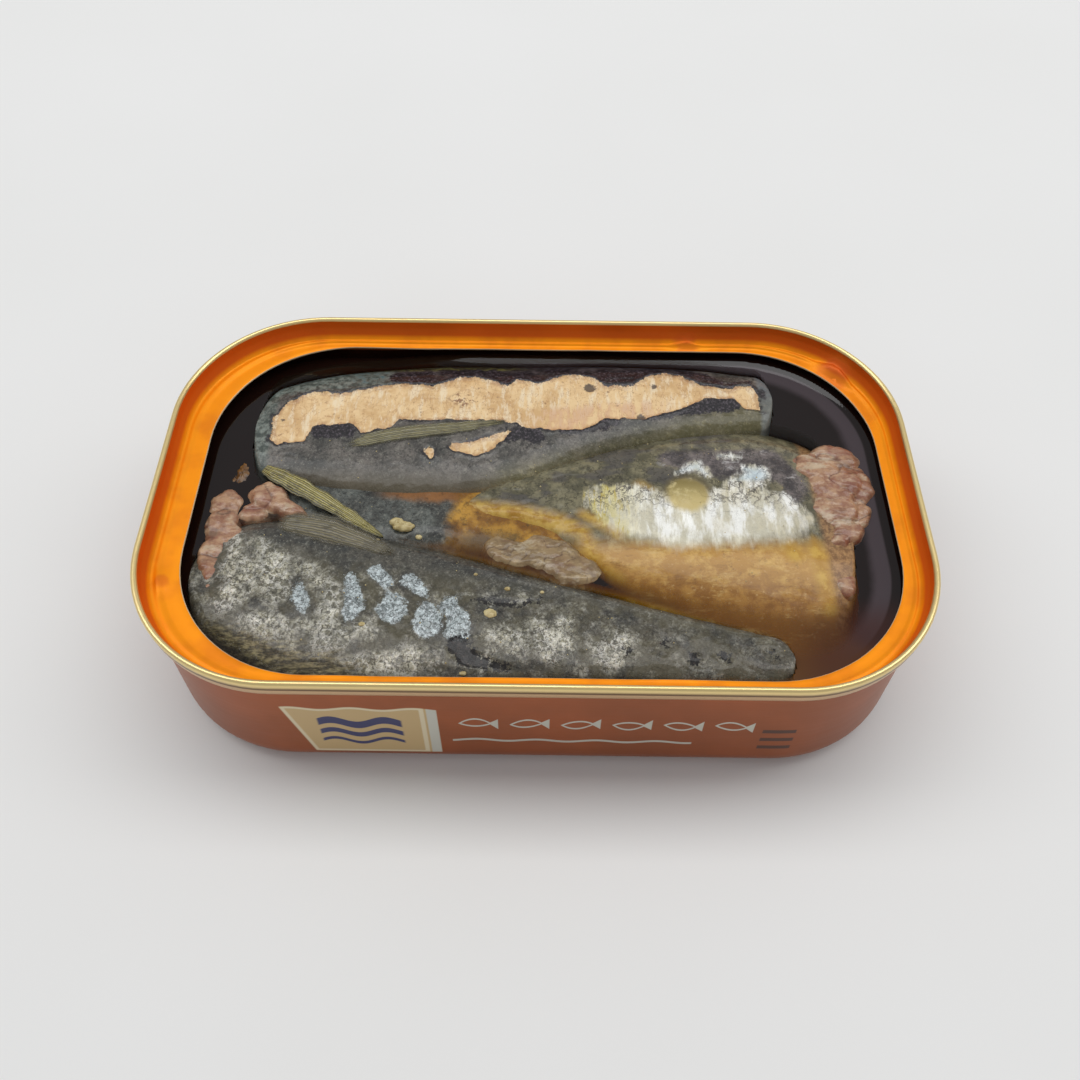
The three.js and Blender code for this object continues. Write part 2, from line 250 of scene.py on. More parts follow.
class Finish:
    """One material, with the few nodes that its finishes are made of."""

    def __init__(self, name):
        self.material = bpy.data.materials.new(name)
        self.material.use_nodes = True
        self.tree = self.material.node_tree
        self.tree.nodes.clear()
        coordinates = self.node("ShaderNodeTexCoord", out="Object")
        self.place = self.vector("SCALE", {0: coordinates, "Scale": 1 / MM})

    def node(self, kind, settings=None, sockets=None, out=0):
        made = self.tree.nodes.new(kind)
        for key, value in (settings or {}).items():
            setattr(made, key, value)
        for key, value in (sockets or {}).items():
            if isinstance(value, Wire):
                self.tree.links.new(value.socket, made.inputs[key])
            else:
                made.inputs[key].default_value = value
        return Wire(self, made.outputs[out])

    def math(self, operation, *values):
        return self.node("ShaderNodeMath", {"operation": operation}, dict(enumerate(values)))

    def vector(self, operation, sockets):
        return self.node("ShaderNodeVectorMath", {"operation": operation}, sockets)

    def mix(self, first, second, share, way="MIX"):
        """Two colours mixed. A tuple holds screen values from 0 to 255."""
        pair = [paint(*colour) if isinstance(colour, tuple) else colour for colour in (first, second)]
        settings = {"data_type": "RGBA", "blend_type": way}
        return self.node("ShaderNodeMix", settings, {0: share, 6: pair[0], 7: pair[1]}, 2)

    def blend(self, first, second, value, low, high):
        """One colour where a value is low, and the other where it is high."""
        return self.mix(first, second, self.step(value, low, high))

    def attribute(self, name):
        return self.node("ShaderNodeAttribute", {"attribute_name": name}, out="Fac")

    def axes(self):
        split = self.node("ShaderNodeSeparateXYZ", sockets={0: self.place})
        return [Wire(self, socket) for socket in split.socket.node.outputs]

    def at(self, vector):
        """The place, or another vector, or the place with each axis multiplied by a tuple's numbers."""
        if isinstance(vector, tuple):
            return self.vector("MULTIPLY", {0: self.place, 1: vector})
        return vector or self.place

    def noise(self, size, detail=3, roughness=0.55, vector=None, seed=0):
        """Cloudy noise from 0 to 1, with its largest features of the given size in millimetres."""
        settings = {"noise_dimensions": "4D"}
        sockets = {"Vector": self.at(vector), "W": seed, "Scale": 1 / size, "Detail": detail}
        return self.node("ShaderNodeTexNoise", settings, {**sockets, "Roughness": roughness})

    def warp(self, size, amount, seed=0):
        """The place pushed about by noise, for outlines that wander."""
        sockets = {"Vector": self.place, "W": seed, "Scale": 1 / size, "Detail": 3}
        push = self.node("ShaderNodeTexNoise", {"noise_dimensions": "4D"}, sockets, "Color")
        push = self.vector("SUBTRACT", {0: push, 1: (0.5, 0.5, 0.5)})
        push = self.vector("SCALE", {0: push, "Scale": amount})
        return self.vector("ADD", {0: self.place, 1: push})

    def veins(self, size, thickness, vector=None, seed=0):
        """Thin wandering lines: 1 on a line and 0 beside it."""
        return 1 - self.step(abs(self.noise(size, 4, 0.6, vector, seed) - 0.5), 0, thickness)

    def weather(self, base, size, seed, strength):
        """Darkens and pales a colour in fine irregular clouds."""
        cloud = self.noise(size, 6, 0.8, seed=seed)
        base = self.mix(base, (92, 88, 82), self.step(cloud, 0.5, 0.32) * strength, "MULTIPLY")
        base.fleck((196, 194, 182), cloud, 0.56, 0.76, strength * 0.45)
        return base

    def cells(self, size, feature="F1", vector=None, out="Distance"):
        """Scattered cells of the given size in millimetres."""
        sockets = {"Vector": self.at(vector), "Scale": 1 / size}
        return self.node("ShaderNodeTexVoronoi", {"feature": feature}, sockets, out)

    def step(self, value, low, high):
        """0 below low and 1 above high, with a smooth change between."""
        sockets = {0: value, 1: low, 2: high, 3: 0, 4: 1}
        return self.node("ShaderNodeMapRange", {"interpolation_type": "SMOOTHSTEP"}, sockets)

    def band(self, value, *ends):
        """1 between two steps, each given by its two ends."""
        return self.step(value, *ends[:2]) * self.step(value, *ends[2:])

    def inside(self, distance, soft):
        """1 where a signed distance is negative."""
        return 1 - self.step(distance, -soft, soft)

    def bump(self, height, distance, strength=1):
        sockets = {"Height": height, "Distance": distance * MM, "Strength": strength}
        return self.node("ShaderNodeBump", sockets=sockets)

    def close(self, **sockets):
        """Closes the material with a shader whose sockets are given by name."""
        named = {key.replace("_", " ").title().replace("Ior", "IOR"): sockets[key] for key in sockets}
        shader = self.node("ShaderNodeBsdfPrincipled", sockets=named)
        output = self.tree.nodes.new("ShaderNodeOutputMaterial")
        self.tree.links.new(shader.socket, output.inputs["Surface"])
        return self.material


# Shapes worked out with arrays


def lattice(ix, iy, seed):
    """A repeatable random value from -1 to 1 for each whole-number place."""
    mixed = (ix * 374761393 + iy * 668265263 + seed * 974634777) & 0x7FFFFFFF
    mixed = ((mixed ^ (mixed >> 13)) * 1274126177) & 0x7FFFFFFF
    return ((mixed ^ (mixed >> 16)) & 0xFFFF) / 32767.5 - 1


def ripple(x, y, size, seed=0, octaves=3, gain=0.5):
    """Smooth unevenness about from -1 to 1, with features of the given size."""
    total = np.zeros_like(x)
    weight = 1
    for octave in range(octaves):
        u, v = x / size + 17.3 * octave, y / size - 9.1 * octave
        iu, iv = np.floor(u).astype(np.int64), np.floor(v).astype(np.int64)
        fu, fv = u - iu, v - iv
        fu, fv = fu * fu * (3 - 2 * fu), fv * fv * (3 - 2 * fv)
        corners = [lattice(iu + i, iv + j, seed + octave) for j in (0, 1) for i in (0, 1)]
        low = corners[0] + (corners[1] - corners[0]) * fu
        high = corners[2] + (corners[3] - corners[2]) * fu
        total += weight * (low + (high - low) * fv)
        weight *= gain
        size /= 2
    return total


def folds(x, y, size, seed=0, octaves=3):
    """Sharp creases between rounded lumps, from 0 in a crease to 1."""
    return np.clip(np.abs(ripple(x, y, size, seed, octaves)) * 1.6, 0, 1) ** 0.6


def cell_distance(x, y, size, seed=0):
    """Distance, in cells, to the nearest of one scattered point per cell."""
    u, v = x / size, y / size
    iu, iv = np.floor(u).astype(np.int64), np.floor(v).astype(np.int64)
    best = np.full_like(x, 9)
    for i in (-1, 0, 1):
        for j in (-1, 0, 1):
            px = iu + i + 0.5 + 0.38 * lattice(iu + i, iv + j, seed)
            py = iv + j + 0.5 + 0.38 * lattice(iu + i, iv + j, seed + 50)
            best = np.minimum(best, np.hypot(u - px, v - py))
    return best


def smooth(value, low, high):
    t = np.clip((value - low) / (high - low), 0, 1)
    return t * t * (3 - 2 * t)


def stroke(x, y, *points):
    """Signed distance to a brush stroke through (x, y, half width) points, negative inside."""
    best = np.full_like(x, 99)
    if len(points) == 1:
        points = points * 2
    for (ax, ay, ar), (bx, by, br) in zip(points, points[1:]):
        dx, dy = bx - ax, by - ay
        t = np.clip(((x - ax) * dx + (y - ay) * dy) / max(dx * dx + dy * dy, 1e-9), 0, 1)
        best = np.minimum(best, np.hypot(x - ax - t * dx, y - ay - t * dy) - (ar + (br - ar) * t))
    return best


def strokes(x, y, *lists):
    """Signed distance to the nearest of several strokes."""
    return np.minimum.reduce([stroke(x, y, *points) for points in lists])


def drawn(*lists):
    """A patch drawn with strokes, as a function of x and y that gives the distance to it."""
    return lambda x, y: strokes(x, y, *lists)


def spline(knots, values, at):
    """A smooth curve through values at knots."""
    knots, values = np.asarray(knots, float), np.asarray(values, float)
    slopes = np.gradient(values, knots)
    i = np.clip(np.searchsorted(knots, at) - 1, 0, len(knots) - 2)
    span = knots[i + 1] - knots[i]
    t = (at - knots[i]) / span
    return (
        values[i] * (1 + 2 * t) * (1 - t) ** 2
        + values[i + 1] * t * t * (3 - 2 * t)
        + span * (slopes[i] * t * (1 - t) ** 2 - slopes[i + 1] * t * t * (1 - t))
    )


def squares(index):
    """The four corners of each square of a grid of point numbers."""
    return np.stack([index[:-1, :-1], index[1:, :-1], index[1:, 1:], index[:-1, 1:]], -1)


def grid_object(name, rows, close_rows=False, close_columns=False, attributes=None):
    """A smooth mesh through a grid of points, with one value per point for each attribute."""
    count, across = rows.shape[:2]
    index = np.arange(count * across).reshape(count, across)
    if close_rows:
        index = np.vstack([index, index[:1]])
    if close_columns:
        index = np.hstack([index, index[:, :1]])
    quads = squares(index)[..., [0, 3, 2, 1]].reshape(-1, 4)
    return mesh_object(name, rows.reshape(-1, 3), quads, attributes)


def relief_object(name, x, y, z, shown, **fields):
    """A smooth mesh through the shown squares of a height field in millimetres."""
    quads = squares(np.arange(x.size).reshape(x.shape))[shown]
    used, packed = np.unique(quads, return_inverse=True)
    points = np.stack([x, y, z], -1).reshape(-1, 3)[used]
    kept = {key: values.reshape(-1)[used] for key, values in fields.items()}
    return mesh_object(name, points, packed.reshape(-1, 4), kept)


def mesh_object(name, points, faces, attributes=None):
    mesh = bpy.data.meshes.new(name)
    mesh.from_pydata((np.asarray(points) * MM).tolist(), [], np.asarray(faces).tolist())
    for key, values in (attributes or {}).items():
        layer = mesh.attributes.new(key, "FLOAT", "POINT")
        layer.data.foreach_set("value", np.asarray(values, np.float32).ravel())
    mesh.shade_smooth()
    made = bpy.data.objects.new(name, mesh)
    bpy.context.scene.collection.objects.link(made)
    return made


def dress(piece, slot, finish, *replaced):
    """Gives a piece its finish and its place on the tin."""
    piece.data.materials.append(finish)
    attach(piece, "root")
    if replaced:
        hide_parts(*replaced)
    return piece


def rounded_outline(half_length, half_width, corner, z, corner_steps=22, spacing=1.2):
    """Points round a rectangle with round corners, anticlockwise from the middle of the right side."""
    reach_x, reach_y = half_length - corner, half_width - corner
    sides = ((1, 1), (-1, 1), (-1, -1), (1, -1))
    angles = np.linspace(0, math.pi / 2, corner_steps)
    points = []
    for quarter, (sx, sy) in enumerate(sides):
        turn = angles + quarter * math.pi / 2
        bend = np.stack([sx * reach_x + corner * np.cos(turn), sy * reach_y + corner * np.sin(turn)], -1)
        points.append(bend)
        nx, ny = sides[(quarter + 1) % 4]
        start = bend[-1]
        turned = (quarter + 1) * math.pi / 2
        end = np.array([nx * reach_x + corner * math.cos(turned), ny * reach_y + corner * math.sin(turned)])
        full = (TIN_LENGTH if quarter % 2 == 0 else TIN_WIDTH) / MM
        steps = int(full / spacing / 2)
        points.append(start + (end - start) * (np.arange(1, steps)[:, None] / steps))
    flat = np.vstack(points)
    return np.column_stack([flat, np.full(len(flat), z)])


# The can and its ring

SHEET = 0.3
BASE_INSET = 31.9  # the innermost row of the base, which one face closes
SEAM_DROP = 2.85  # from the crown to the foot of the seam's outside
CROWN_HALF = 0.42
CROWN_RISE = 0.46
LEDGE_INSET = 1.76  # where the inner wall turns into the ledge
ORANGE_ROW, ORANGE_INSET = 8, 0.83  # the lacquer turns orange past this row of the profile and this inset
DIMPLES_UNDER = 22.2  # nothing above this height is lifted by a dimple
DIMPLES = ((22.8, 30.1, 1.7, 0.7), (44.4, 23.8, 2.8, 1.3), (-48.9, -15.4, 1, 0.6))  # x, y, radius, lift


def tin_outline(tin, inset, z):
    corner = max(tin.corner / MM - inset, 0.05)
    return rounded_outline(tin.length / MM / 2 - inset, tin.width / MM / 2 - inset, corner, z)


def can_profile(tin):
    """Insets and heights from the middle of the base, up the side and down the inside to the floor."""
    wall, fillet = tin.wall_inset / MM, tin.fillet / MM
    bend = np.linspace(0, math.pi / 2, 9)
    base = [(BASE_INSET, 0), (24, 0), (12, 0), (wall + fillet + 1.5, 0)]
    outer = [(wall + fillet * (1 - math.sin(a)), fillet * (1 - math.cos(a))) for a in bend]
    side = [(wall, z) for z in np.linspace(4.4, 19.6, 12)]
    neck = [(wall, 20.5), (wall - 0.12, 21), (0.62, 21.6), (0.52, 22.2)]
    flange = [(0.52, 22.85), (0.82, 22.85), (0.82, 22.2)]
    inner = [(wall + SHEET, z) for z in (20.9, 15, 8, 3)]
    bottom = [(wall + SHEET + 2, 0.35), (BASE_INSET, 0.32)]
    return base + outer + side + neck + flange + inner + bottom


def print_finish(tin):
    """Metallic print with a pale field, silver lines and small dark bars on the front."""
    kit = Finish("can_print")
    x, y, z = kit.axes()
    front = kit.step(y, -29.5, -30.5)
    brushed = kit.noise(0.5, 3, vector=(0.06, 0.06, 1))
    cloud = kit.noise(12, 3, 0.6)
    base = kit.mix(tin.copper, (140, 74, 30), kit.step(cloud, 0.3, 0.7) * 0.6)
    base.fleck(tin.band, z, 20.2, 20.6)
    wave = kit.math("SINE", x * 0.8 + 1.2)
    left = x + z * 0.22
    field = kit.step(left, -28.6, -28.3) * kit.step(x, -12.2, -12.4) * front
    field = field * kit.step(z, 3.5, 3.8) * kit.step(z - wave * 0.3, 16.3, 16)
    base.lay(tin.cream, field)
    base.lay(tin.silver, field * kit.step(x, -13.7, -13.5))
    inner = kit.step(left, -28.1, -27.8) * kit.step(x, -14.4, -14.6) * kit.step(z, 4, 4.3)
    rim = field * (1 - inner * kit.step(z - wave * 0.3, 15.8, 15.5)) * kit.step(x, -13.8, -14)
    base.lay((236, 226, 196), rim * 0.7)
    swell = kit.math("SINE", x * 0.9)
    within = kit.band(x, -28, -27.6, -16.8, -17.2) * front
    for height, thick in ((12.2, 0.9), (9.4, 0.6), (7, 0.35)):
        off = abs(z - swell * 0.7 - height)
        base.lay(tin.ink, (1 - kit.step(off, thick, thick + 0.12)) * within)
    shoal = kit.math("MODULO", x + 50.4, 6.6) - 3.3
    off = abs(z - 12.4 - wave * 0.25)
    body = shoal * shoal / 5 + off / 1.25
    tail = kit.band(shoal, 1.9, 2, 3, 2.9) * kit.step(off - shoal * 1.1, -1.8, -1.9)
    row = kit.band(x, -10.7, -10.6, 28.5, 28.4) * front
    outline = kit.band(body, 0.62, 0.68, 1, 0.92)
    base.lay(tin.silver, (outline + tail) * row)
    thin = abs(z - 7.6 - wave * 0.25)
    rule = kit.step(thin, 0.34, 0.2) * row * kit.step(x, 21, 20.8)
    base.lay(tin.silver, rule)
    bars = kit.math("PINGPONG", z + 0.4, 1.15)
    block = kit.step(bars, 0.55, 0.4) * kit.step(x, 29.6, 29.8) * kit.step(x, 34.2, 34) * front
    block = block * kit.step(z, 5.2, 5.4) * kit.step(z, 12.2, 12)
    base.lay((60, 42, 34), block * 0.85)
    bump = kit.bump(brushed + kit.noise(2.5, 4) * 0.5, 0.02, 0.5)
    return kit.close(
        base_color=base, roughness=0.36 + brushed * 0.1, metallic=0.7 - field * 0.4, coat_weight=0.12,
        coat_roughness=0.15, normal=bump,
    )


def make_can(tin):
    rows = np.array([tin_outline(tin, inset, z) for inset, z in can_profile(tin)])
    piece = grid_object("can_wall", rows, close_columns=True)
    close_end(piece, rows.shape[1], rows.shape[0])
    return dress(piece, "printed_can", print_finish(tin), "can_body")


def close_end(piece, across, count):
    """Closes the first and the last row of a grid with one face each."""
    mesh = piece.data
    points = np.zeros(len(mesh.vertices) * 3, np.float32)
    mesh.vertices.foreach_get("co", points)
    faces = [list(polygon.vertices) for polygon in mesh.polygons]
    faces.append(list(range(across))[::-1])
    faces.append(list(range(across * (count - 1), across * count)))
    mesh.clear_geometry()
    mesh.from_pydata(points.reshape(-1, 3).tolist(), [], faces)
    mesh.shade_smooth()


def ring_profile(tin):
    """Inset, height and share of the way to the torn edge of each line round the ring."""
    top = tin.height / MM
    foot = top - SEAM_DROP
    outside = [(0.34, foot), (0.26, foot + 0.1), (0.16, foot + 0.5), (0.06, top - 1.5), (0, top - 0.7)]
    crown = [
        (CROWN_HALF + CROWN_HALF * math.cos(a), top - CROWN_RISE + CROWN_RISE * math.sin(a))
        for a in np.linspace(math.pi, 0, 13)
    ]
    wall = [(0.96, 22.7), (1.14, 21.9), (1.32, 21.3), (1.5, 20.95), (1.64, 20.76), (LEDGE_INSET, 20.66)]
    groove = ((20.7, 0.1), (20.74, 0.16), (20.72, 0.22), (20.62, 0.3), (20.5, 0.36))
    ledge = ((20.44, 0.45), (20.42, 0.7), (20.4, 0.85), (20.38, 0.95), (20.32, 1))
    under = ((20.12, 1), (20.1, 0.9), (20.1, 0.4))
    back = [(1.6, 20.14), (1.3, 20.5), (1, 21.4), (0.8, 22.4), (0.7, 23.1), (0.45, 23.1), (0.45, foot)]
    inward = [(LEDGE_INSET, z, share) for z, share in groove + ledge + under]
    return [(*line, 0) for line in outside + crown + wall] + inward + [(*line, 0) for line in back]


def ring_row(tin, inset, z, share):
    """One line round the ring, drawn towards the torn edge by its share."""
    row = tin_outline(tin, inset, z)
    if share:
        edge = rounded_outline(*LEDGE_HALF, z) + (*LEDGE_SHIFT, 0)
        row = row + share * (edge - row)
    return row


def ring_finish(tin):
    """Pale gold on the seam, with painted shade below its crown and a painted reflection of the floor on its
    outside; orange inside it, painted darker up the wall; bare metal on the torn edge.
    """
    kit = Finish("ring_lacquer")
    lacquer = kit.attribute("lacquer")
    torn = kit.attribute("torn")
    flow = kit.noise(7, 3, 0.6)
    fine = kit.noise(0.35, 3, 0.6)
    z = kit.axes()[2]
    # Painted shade: a darker orange that the inner wall takes from the ledge up, and that the dimples take in
    # part.
    shade_orange = (214, 92, 26)
    orange = kit.mix(tin.orange, (214, 110, 18), kit.step(flow, 0.4, 0.7) * 0.5)
    orange.fleck(shade_orange, z, 20.9, 21.6, 0.85)
    orange.fleck(shade_orange, kit.attribute("dimple"), 0.05, 0.5, 0.45)
    # Painted shade: the seam's gold turns dark brown below its crown. Painted reflection: below 22.3 mm its
    # outside is painted pale beige, as the pale floor seen in it.
    gold = kit.blend(tin.gold, (104, 72, 34), z, 23.5, 22.7)
    gold.fleck((216, 178, 132), z, 22.7, 22.3)
    base = kit.blend(gold, orange, lacquer + (flow - 0.5) * 0.12, 0.4, 0.6)
    base.fleck((216, 190, 150), torn + (fine - 0.5) * 0.3, 0.45, 0.7)
    metal = 0.85 - lacquer * 0.25 - kit.step(z, 22.7, 22.3) * 0.3
    scratch = kit.cells(1.7, "DISTANCE_TO_EDGE", (0.12, 1, 1))
    bump = kit.bump(fine * 0.5 + kit.noise(3, 2) + kit.step(scratch, 0, 0.03) * 0.15, 0.03, 0.4)
    return kit.close(
        base_color=base, roughness=0.26 + fine * 0.1 + lacquer * 0.12, metallic=metal, coat_weight=0.04,
        coat_roughness=0.12, specular_ior_level=0.2, normal=bump,
    )


def make_ring(tin):
    profile = ring_profile(tin)
    rows = np.array([ring_row(tin, *step) for step in profile])
    lacquer = np.zeros(rows.shape[:2])
    torn = np.zeros(rows.shape[:2])
    dimple = np.zeros(rows.shape[:2])
    for i, (inset, _, share) in enumerate(profile):
        lacquer[i] = 1 if (inset >= ORANGE_INSET or share) and i > ORANGE_ROW else 0
        torn[i] = smooth(share, 0.93, 1)
    shares = np.array([share for _, _, share in profile])[:, None]
    for x, y, radius, lift in DIMPLES:
        away = np.hypot(rows[..., 0] - x, rows[..., 1] - y)
        dome = np.clip(1 - (away / radius) ** 2, 0, 1) ** 0.8
        shown = (rows[..., 2] < DIMPLES_UNDER) & (lacquer > 0.5)
        rows[..., 2] += np.where(shown, lift * dome, 0) * (1 - smooth(shares, 0.35, 0.8))
        dimple = np.maximum(dimple, np.where(shown, dome, 0))
    wobble = ripple(rows[..., 0], rows[..., 1], 9, seed=4)
    rows[..., 2] += 0.05 * wobble * np.where(torn > 0, 1.5, np.where(shares > 0, 0.3, 0))
    piece = grid_object("lacquered_ring", rows, close_rows=True, close_columns=True,
                        attributes={"lacquer": lacquer, "torn": torn, "dimple": dimple})
    return dress(piece, "gold_lacquer", ring_finish(tin), "end_ring")


# Fish


def skin_relief(x, y, seed):
    """Gentle waves and shallow creases of a wet skin."""
    return 0.16 * ripple(x, y, 8, seed, 2) + 0.045 * (folds(x, y * 1.5, 2.6, seed + 3) - 0.6)


def pit_relief(x, y, pits):
    """1 at the bottom of a pit, fading out round it."""
    return sum(np.exp(-((stroke(x, y, pit) + pit[2]) / pit[2]) ** 2) for pit in pits)


def pit_field(pits):
    return drawn(*[(pit,) for pit in pits])


# The bare strip along the back fish: its upper and its lower edge
STRIP_TOP = (
    (-39.3, 15.6), (-37.4, 19), (-34, 20.7), (-30, 20.2), (-22.5, 22.5), (-16, 22), (-12.5, 24.1),
    (-9, 24.3), (-4.7, 22.4), (-3.4, 23.9), (0, 23), (4.5, 25), (8, 24.3), (10.2, 22.2), (14.5, 22.8),
    (17, 25), (20.5, 25.3), (24.6, 23), (29, 22.3), (32.4, 23), (33.4, 21),
)
STRIP_FOOT = (
    (-39.3, 11), (-38.2, 10.2), (-34.2, 10.7), (-33.2, 13.8), (-27.4, 14.2), (-26.2, 12.4), (-21.6, 13.4),
    (-20.8, 15.2), (-10, 15.2), (-5, 15.5), (-1.4, 13.6), (6.6, 13.2), (10, 15.7), (16, 15.8),
    (21, 17.6), (25.6, 20), (29.6, 20.1), (31, 18.2), (33.4, 17.8),
)
# Small dark holes in the back fish: x, y and radius
BACK_PITS = ((7.8, 22.2, 0.9), (10.8, 19.7, 0.5), (17.6, 22.7, 0.5), (-38, 14.8, 0.5), (15.4, 16.3, 0.7))


def between(x, y, foot, top):
    """Signed distance to the band between two edges, negative inside."""
    foot_x, foot_y = zip(*foot)
    top_x, top_y = zip(*top)
    across = np.maximum(np.interp(x, foot_x, foot_y) - y, y - np.interp(x, top_x, top_y))
    return np.maximum(across, np.maximum(foot_x[0] - x, x - foot_x[-1]))


def back_flesh(x, y):
    """Signed distance to the bare flesh of the back fish."""
    patches = strokes(x, y, ((-12.2, 9.9, 0.6), (-9.2, 9.6, 1.2), (-7.8, 10.2, 1.2), (-3.6, 13.6, 0.4)),
                      ((-15.7, 8.8, 0.8), (-15.4, 8.2, 0.6)))
    strip = between(x, y, STRIP_FOOT, STRIP_TOP)
    return np.minimum(strip, patches) + 0.22 * ripple(x, y, 1.6, 31) + 0.12 * ripple(x, y, 0.6, 33)


# The torn dark skin beside the bare strip
back_dark = drawn(
    ((-32, 12.6, 1.3), (-28.4, 12.8, 1.4)),
    ((-21.6, 24, 1.2), (-17.6, 24.2, 1.5)),
    ((-14.4, 25.4, 0.7), (-9.6, 25.7, 0.8)),
    ((-7.4, 25.3, 1.1), (-4.6, 23.7, 1.2), (-2, 24.9, 1.2), (-0.8, 24, 0.8)),
    ((1.6, 26.1, 0.7), (4.4, 26.3, 0.6)),
    ((9.8, 25.4, 0.8), (12.2, 24.2, 1.6), (14.8, 25.2, 1.2), (18, 26.4, 0.5)),
    ((21.5, 26.2, 0.6), (25.2, 25, 0.8), (27.8, 23.4, 0.4)),
    ((16.6, 16.2, 0.5), (22.5, 17.5, 0.8), (26.5, 18.7, 1.3), (29.2, 19, 1.1)),
    ((3.6, 12.9, 0.4), (8, 13.8, 0.8), (11.4, 15.2, 0.7)),
    ((-6, 11.2, 0.6), (-2.2, 12.6, 0.9), (-0.4, 12, 1.2)),
    ((-20.4, 14.7, 0.5), (-16.6, 15.4, 0.6)),
)


def back_shape(x, y):
    flesh = back_flesh(x, y)
    bare = 1 - smooth(flesh, -0.3, 0.1)
    lip = np.exp(-((flesh - 0.35) ** 2) / 0.12)
    blocks = 0.05 * np.sin(x * 3 + 1.1 * np.abs(y - 19)) + 0.05 * ripple(x * 0.5, y, 0.8, 41)
    pits = pit_relief(x, y, BACK_PITS)
    return skin_relief(x, y, 11) * (1 - 0.5 * bare) - 0.34 * bare + 0.12 * lip + blocks * bare - 0.3 * pits


# The yellow drop on the right fish: x, y and radius
RIGHT_BLOB = (21.2, 1.2, 3.1)

# The silvery belly
right_silver = drawn(
    ((9, 0.6, 2.4), (13, -1.4, 4.6), (19, -3.4, 4.6), (27, -2.6, 5), (33.4, -2.6, 4.2), (36.2, -3.6, 2.4)),
    ((20, 5.3, 0.5), (22.8, 6.5, 0.9), (24.2, 4.8, 0.5)),
    ((29.8, 6, 0.8), (31.6, 5.2, 1.6), (29, 2.4, 2.4)),
    ((26.2, 8.5, 0.5), (29, 8.4, 0.3)),
)


# The purple-grey skin above the belly
right_dusk = drawn(((19, 7.8, 1.6), (25, 7.2, 2.6), (33, 7.6, 2.8), (36.8, 3.4, 1.8), (35.4, -0.2, 1.1)))


# The yellow streaks
right_gold = drawn(
    ((-9, -1, 1.8), (-3, -2, 1.9), (3, -3.2, 1.4), (6.6, -5, 0.9), (7.6, -9, 1), (11, -12.6, 0.8)),
    ((8.6, -12.6, 0.9), (14, -15.4, 1.1), (22, -18.8, 1), (30, -21.6, 0.7)),
    ((38, -6.4, 0.7), (38.2, -9, 1.1), (39.2, -16.4, 0.8)),
    ((6.4, -2, 0.6), (11.2, -5, 1)),
    ((14.6, 3, 0.5), (17.2, 0.6, 0.5)),
    ((34.4, -7.6, 0.9), (35.2, -9, 0.9)),
)


def right_shape(x, y):
    blob = np.clip(1 - (np.hypot(x - RIGHT_BLOB[0], y - RIGHT_BLOB[1]) / RIGHT_BLOB[2]) ** 2, 0, 1)
    fall = -3 * smooth(-y, 8, 26) * smooth(x, 4, 16)
    wrinkled = 1 - smooth(np.minimum(right_silver(x, y), right_dusk(x, y)), -1, 1.5)
    creases = folds(x * 1.2, y * 0.9, 3.2, 52) - 0.65
    flank = (1 - smooth(x, 6, 12)) * 0.22 * (folds(x * 0.6 + y * 0.5, y - x * 0.3, 2.6, 57) - 0.6)
    return skin_relief(x, y, 51) * 0.7 + fall + 0.13 * wrinkled * creases + flank + 0.5 * blob**0.6


# The mottled silvery skin
front_silver = drawn(
    ((-41.2, -6.6, 0.8), (-40.6, -9.4, 1.1), (-40.4, -12, 1.9), (-38.4, -13.6, 2.2), (-40.4, -17.4, 1.7)),
    ((-38, -8, 1.1), (-35.2, -10.4, 1.5), (-34, -15.4, 2.1)),
    ((-31.8, -11.6, 0.8), (-30.4, -12.2, 0.9)),
    ((-37, -20.6, 1.5), (-33.6, -22, 2.3), (-31, -24.4, 0.9)),
    ((-28.6, -14.4, 0.9), (-26.4, -16.6, 1.9), (-27, -18.4, 1.4)),
    ((-28.6, -20.8, 0.6), (-25.6, -22.4, 2), (-27.6, -24.4, 1.2), (-22.4, -21, 0.7)),
    ((-24.4, -26.4, 0.9), (-19, -26, 1.3), (-14.6, -25.6, 1.5), (-12.6, -24.6, 0.7)),
    ((-5.6, -21.4, 0.8), (-2.6, -22.6, 1.6)),
    ((-0.4, -20.4, 0.9), (2.6, -23.4, 2.2), (4, -19.6, 0.9)),
    ((9.4, -24.2, 2.1), (12, -22, 0.8)),
)


# The single bluish scales
front_blue = drawn(
    ((-31.6, -14.4, 0.4), (-30.7, -16.6, 1.1), (-30.2, -18, 0.7)),
    ((-24.6, -13.4, 0.6), (-23.5, -17.4, 1.3), (-24, -19, 0.9)),
    ((-21.4, -12.4, 0.9), (-19.8, -14, 0.8)),
    ((-16.8, -13.7, 0.9), (-14.8, -15.3, 0.7)),
    ((-18.6, -18, 2.1),),
    ((-14, -18.6, 1.5), (-13.8, -20.6, 1.7)),
    ((-9.8, -19.2, 1.3), (-10, -21.4, 1.5)),
    ((-11.7, -17, 0.4), (-10.6, -16.9, 0.6)),
)


# The torn places of the front fish: x, y and half width, or radius
FRONT_TEAR = ((-9.8, -23.4, 1.4), (-8.6, -25, 1.1), (-3.4, -26.4, 0.35))
FRONT_CRACK = ((-8, -16.6, 0.15), (-4, -17, 0.3), (0.4, -16.4, 0.15))
FRONT_PITS = ((20.4, -24.8, 1), (24.2, -24.6, 0.9), (16.6, -22.4, 0.8), (12, -23.6, 0.7), (30.4, -24, 0.8))


